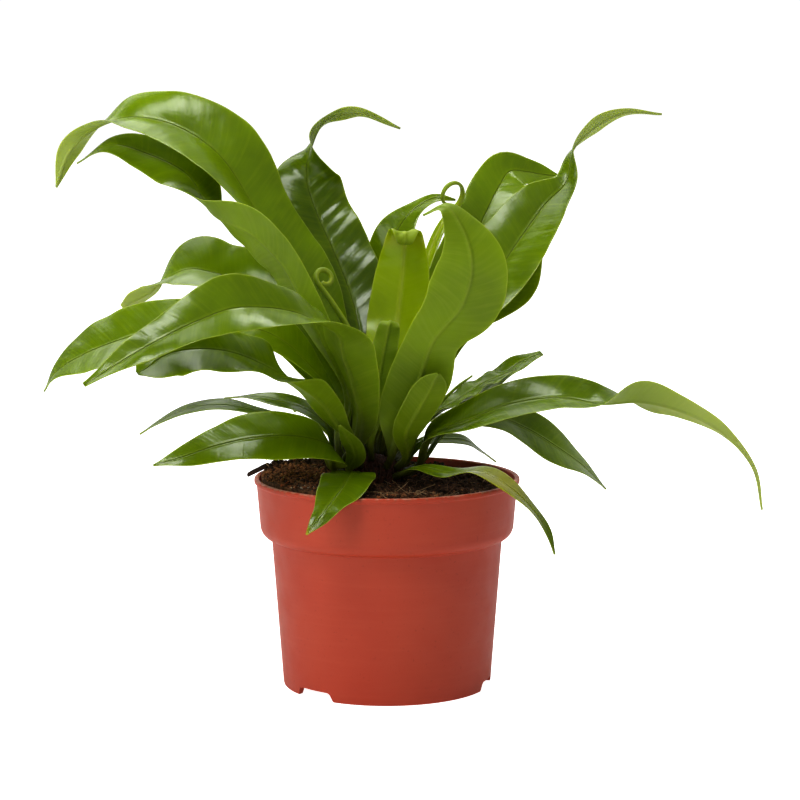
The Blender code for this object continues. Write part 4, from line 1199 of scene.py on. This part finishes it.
def blade_lift(frond, draw, at, across, half):
    """How far each point of the blade rises from the plane across its midrib."""
    share = (at / at[-1])[:, None]
    column = np.abs(across) / half[:, None]
    side = np.sign(across)
    height, count, phase = frond.wave
    grown = np.clip((share - WAVE_START) / WAVE_RISE, 0, 1) * np.clip((1 - share) / WAVE_FALL, 0, 1)
    shift = phase + np.where(side > 0, WAVE_SHIFT, 0.0)
    lift = height * grown * column**WAVE_POWER * np.sin(2 * math.pi * (count * share + shift))
    # Smaller crimps of the margin, different on the two sides
    along = at[:, None] + 0 * across
    crimps = np.where(
        side > 0, waves(draw, along, CRIMP_SPACING), waves(draw, along, CRIMP_SPACING))
    lift = lift + CRIMP * half[:, None] * grown * column**3 * crimps
    if frond.curl:
        # An unrolling tip is still crumpled
        crumpled = np.clip((share - CRUMPLE_START) / CRUMPLE_RISE, 0, 1)
        crumpled = crumpled * np.clip(half[:, None] / 9, 0, 1) ** 2
        lift = lift + crumpled * (1.3 * waves(draw, across, 8) + 0.8 * waves(draw, along + across, 6))
    # Pleats that run with the veins, strongest half way to the margin
    tall, spacing = PLEATS.get(frond.name, PLEAT)
    course = along - VEIN_LEAN * np.abs(across)
    pleats = np.where(side > 0, waves(draw, course, spacing), waves(draw, course, spacing))
    swell = np.sin(math.pi * np.clip(column, 0, 1)) ** 0.8 * np.clip(half[:, None] / 10, 0, 1)
    return lift + tall * grown * swell * pleats


def blade_thickness(frond, at, across, half):
    """Full thickness, and how much of it is rib."""
    share = (at / at[-1])[:, None]
    column = np.abs(across) / half[:, None]
    stalked = np.clip(1 - share / RIB_REACH, 0, 1) ** RIB_TAPER
    rib = SOLID_BLADE + (STIPE_THICKNESS - SOLID_BLADE) * stalked
    rib = np.maximum(rib + RIB_RELIEF * (1 - share) - BLADE, 0.05)
    width = np.minimum(RIB_SPREAD * rib + RIB_SHOULDER, half[:, None] * 0.98)
    round_rib = rib * np.sqrt(np.clip(1 - (np.abs(across) / width) ** 2, 0, 1))
    thin = MARGIN + (BLADE - MARGIN) * np.sqrt(np.clip(1 - column**6, 0, 1))
    stalk = frond.stem * np.sqrt(np.clip(1 - column**2, 0.01, 1))
    return np.maximum(thin, stalk - round_rib), round_rib


def blade_faces(rows, columns):
    """The faces of the upper side, of the lower side and of the rim between them."""
    count = rows * columns
    grid = np.arange(count).reshape(rows, columns)
    a, b, c, d = grid[:-1, :-1], grid[:-1, 1:], grid[1:, 1:], grid[1:, :-1]
    top = np.stack([a, b, c, d], axis=-1).reshape(-1, 4)
    low = top[:, ::-1] + count
    edge = np.concatenate([grid[0, :-1], grid[:-1, -1], grid[-1, :0:-1], grid[:0:-1, 0]])
    after = np.roll(edge, -1)
    rim = np.stack([edge, after, after + count, edge + count], axis=-1)
    return top, low, rim


def blade_numbers(frond, at, across, half):
    """What the finishes read at each point of a side; lengths are in millimetres."""
    share = (at / at[-1])[:, None]
    yellowest, spread, strength = YELLOWING.get(frond.name, (0.0, 1.0, 0.0))
    backlight_from = PAINTED_BACKLIT_TIPS.get(frond.name, 1.0)
    return {
        "along": at[:, None],
        "across": across,
        "margin": half[:, None] - np.abs(across),
        "share": share,
        "tone_and_shade": TONES_AND_PAINTED_SHADE.get(frond.name, 0.0),
        "yellow": strength * np.exp(-((share - yellowest) / spread) ** 2),
        "painted_backlight": BACKLIGHT_PAINT_STRENGTH * np.clip((share - backlight_from) / BACKLIGHT_PAINT_RISE, 0, 1),
    }


def make_frond(frond, number, finishes):
    """A blade with two sides and a thin rim, cupped and ruffled round its raised midrib."""
    draw = np.random.default_rng(FROND_SEED + number)
    at, places, sides, ups, half = frond_course(frond)
    share = (at / at[-1])[:, None]
    half = half * (1 + WANDER * waves(draw, at, WANDER_SPACING) * np.clip(half / 6, 0, 1))
    across = columns_of(half)
    column = np.abs(across) / half[:, None]
    cup = np.radians(frond.cup) * (1 - CUP_EASING * share)
    bowl = column + BOWL * np.sin(math.pi * column)
    out = across * np.cos(cup)
    lift = half[:, None] * bowl * np.sin(cup) + blade_lift(frond, draw, at, across, half)
    middle = places[:, None] + sides[:, None] * out[..., None] + ups[:, None] * lift[..., None]
    down_rows = np.gradient(middle, axis=0)
    over_columns = np.gradient(middle, axis=1)
    normal = unit(np.cross(over_columns, down_rows))
    thin, rib = blade_thickness(frond, at, across, half)
    groove = GROOVE_DEPTH * np.exp(-(across / GROOVE_WIDTH) ** 2) * np.clip(share / 0.2, 0, 1)
    groove = groove * (half[:, None] > GROOVED_HALF)
    upper = middle + normal * (thin / 2 + RIB_ABOVE * rib - groove)[..., None]
    lower = middle - normal * (thin / 2 + (1 - RIB_ABOVE) * rib)[..., None]
    points = np.vstack([upper.reshape(-1, 3), lower.reshape(-1, 3)])
    top, low, rim = blade_faces(*across.shape)
    mesh = mesh_from(
        frond.name + "_blade", points, [*map(tuple, top), *map(tuple, low), *map(tuple, rim)])
    sided = np.zeros(len(mesh.polygons), np.int32)
    sided[len(top):len(top) + len(low)] = 1
    mesh.polygons.foreach_set("material_index", sided)
    for label, values in blade_numbers(frond, at, across, half).items():
        add_numbers(mesh, label, np.tile(np.broadcast_to(values, across.shape).reshape(-1), 2))
    add_piece(frond.name + "_blade", mesh, finishes[frond.age], [frond.name])


def make_fronds():
    """Every frond, in the finishes of its age: grown ones are deep green, young ones bright."""
    finishes = {
        "grown": (
            cuticle_finish("grown frond cuticle", "#5b7300", "#86a000", "#a2b21c", "#465a00"),
            underside_finish("grown frond underside", "#6b8203", "#90a80a", "#a8b63c", "#a8b24a")),
        "young": (
            cuticle_finish("young frond cuticle", "#7f9a00", "#a6bb00", "#bac63c", "#b4c040", 0.5),
            underside_finish("young frond underside", "#7d9612", "#9cb024", "#b4c050", "#b8c454")),
    }
    for number, frond in enumerate(FRONDS):
        make_frond(frond, number, finishes)


# Studio


def add_lamp(name, place, width, height, power):
    """A soft box that faces the middle of the plant."""
    data = bpy.data.lights.new(name, "AREA")
    data.shape = "RECTANGLE"
    data.size = width
    data.size_y = height
    data.energy = power
    lamp = bpy.data.objects.new(name, data)
    bpy.context.scene.collection.objects.link(lamp)
    lamp.location = place
    away = np.array(place) - np.array(PLANT_MIDDLE)
    lamp.rotation_euler = (
        math.acos(away[2] / np.linalg.norm(away)), 0, math.atan2(away[1], away[0]) + math.pi / 2)


def make_world():
    """A dim white room, brighter towards each of a few broad glows; the camera sees it white."""
    world = bpy.data.worlds.new("white studio")
    bpy.context.scene.world = world
    world.use_nodes = True
    tree = world.node_tree
    direction = add_node(tree, PLACE, {}, "Generated")
    strength = ROOM_LIGHT
    for aim, inner, outer, glow in ROOM_GLOWS:
        towards = add_node(
            tree, "ShaderNodeVectorMath", {0: direction, 1: tuple(unit(np.array(aim)))}, "Value",
            operation="DOT_PRODUCT")
        lobe = add_node(
            tree, RANGE, {"Value": towards, "From Min": outer, "From Max": inner, "To Max": glow},
            interpolation_type="SMOOTHSTEP")
        strength = add_node(tree, MATH, {0: lobe, 1: strength}, operation="ADD")
    seen = add_node(tree, "ShaderNodeLightPath", {}, "Is Camera Ray")
    shown = add_node(tree, MIX, {"Factor": seen, "A": strength, "B": SEEN_WHITE}, "Result")
    set_inputs(tree, tree.nodes["Background"], {"Color": colour("#ffffff"), "Strength": shown})


def make_floor():
    """Matt white paper, so evenly lit that the camera sees no edge or shadow on it."""
    mesh = bpy.data.meshes.new("floor")
    mesh.from_pydata(
        [(-FLOOR, -FLOOR, 0), (FLOOR, -FLOOR, 0), (FLOOR, FLOOR, 0), (-FLOOR, FLOOR, 0)],
        [], [(0, 1, 2, 3)])
    floor = bpy.data.objects.new("floor", mesh)
    bpy.context.scene.collection.objects.link(floor)
    paper, tree, shader = new_material("matt white paper")
    seen = add_node(tree, "ShaderNodeLightPath", {}, "Is Camera Ray")
    glow = add_node(tree, RANGE, {"Value": seen, "To Min": FLOOR_GLOW})
    set_inputs(tree, shader, {
        "Base Color": colour("#e4e4e4"), "Roughness": 0.9,
        "Emission Color": colour("#ffffff"), "Emission Strength": glow})
    mesh.materials.append(paper)


def make_studio():
    make_world()
    make_floor()
    for name, place, width, height, power in SOFT_BOXES:
        add_lamp(name, place, width, height, power)


def make_camera():
    """The photograph's view: a long lens a little over a metre away, from just above the plant."""
    data = bpy.data.cameras.new("camera")
    data.sensor_width = 36.0
    data.lens = CAMERA_LENS
    data.clip_start = 0.1
    data.clip_end = 20.0
    camera = bpy.data.objects.new("camera", data)
    bpy.context.scene.collection.objects.link(camera)
    camera.location = CAMERA_PLACE
    camera.rotation_euler = (math.radians(90 - CAMERA_DIP), 0, 0)
    bpy.context.scene.camera = camera


def make_view():
    """The photograph's crisp development: deeper darks and fuller colours."""
    settings = bpy.context.scene.view_settings
    settings.view_transform = "Standard"
    settings.gamma = 0.77


draw = np.random.default_rng(LITTER_SEED)
make_pot()
make_peat(draw)
make_litter(draw)
make_crown(draw)
make_bark()
make_fronds()
make_studio()
make_camera()
make_view()
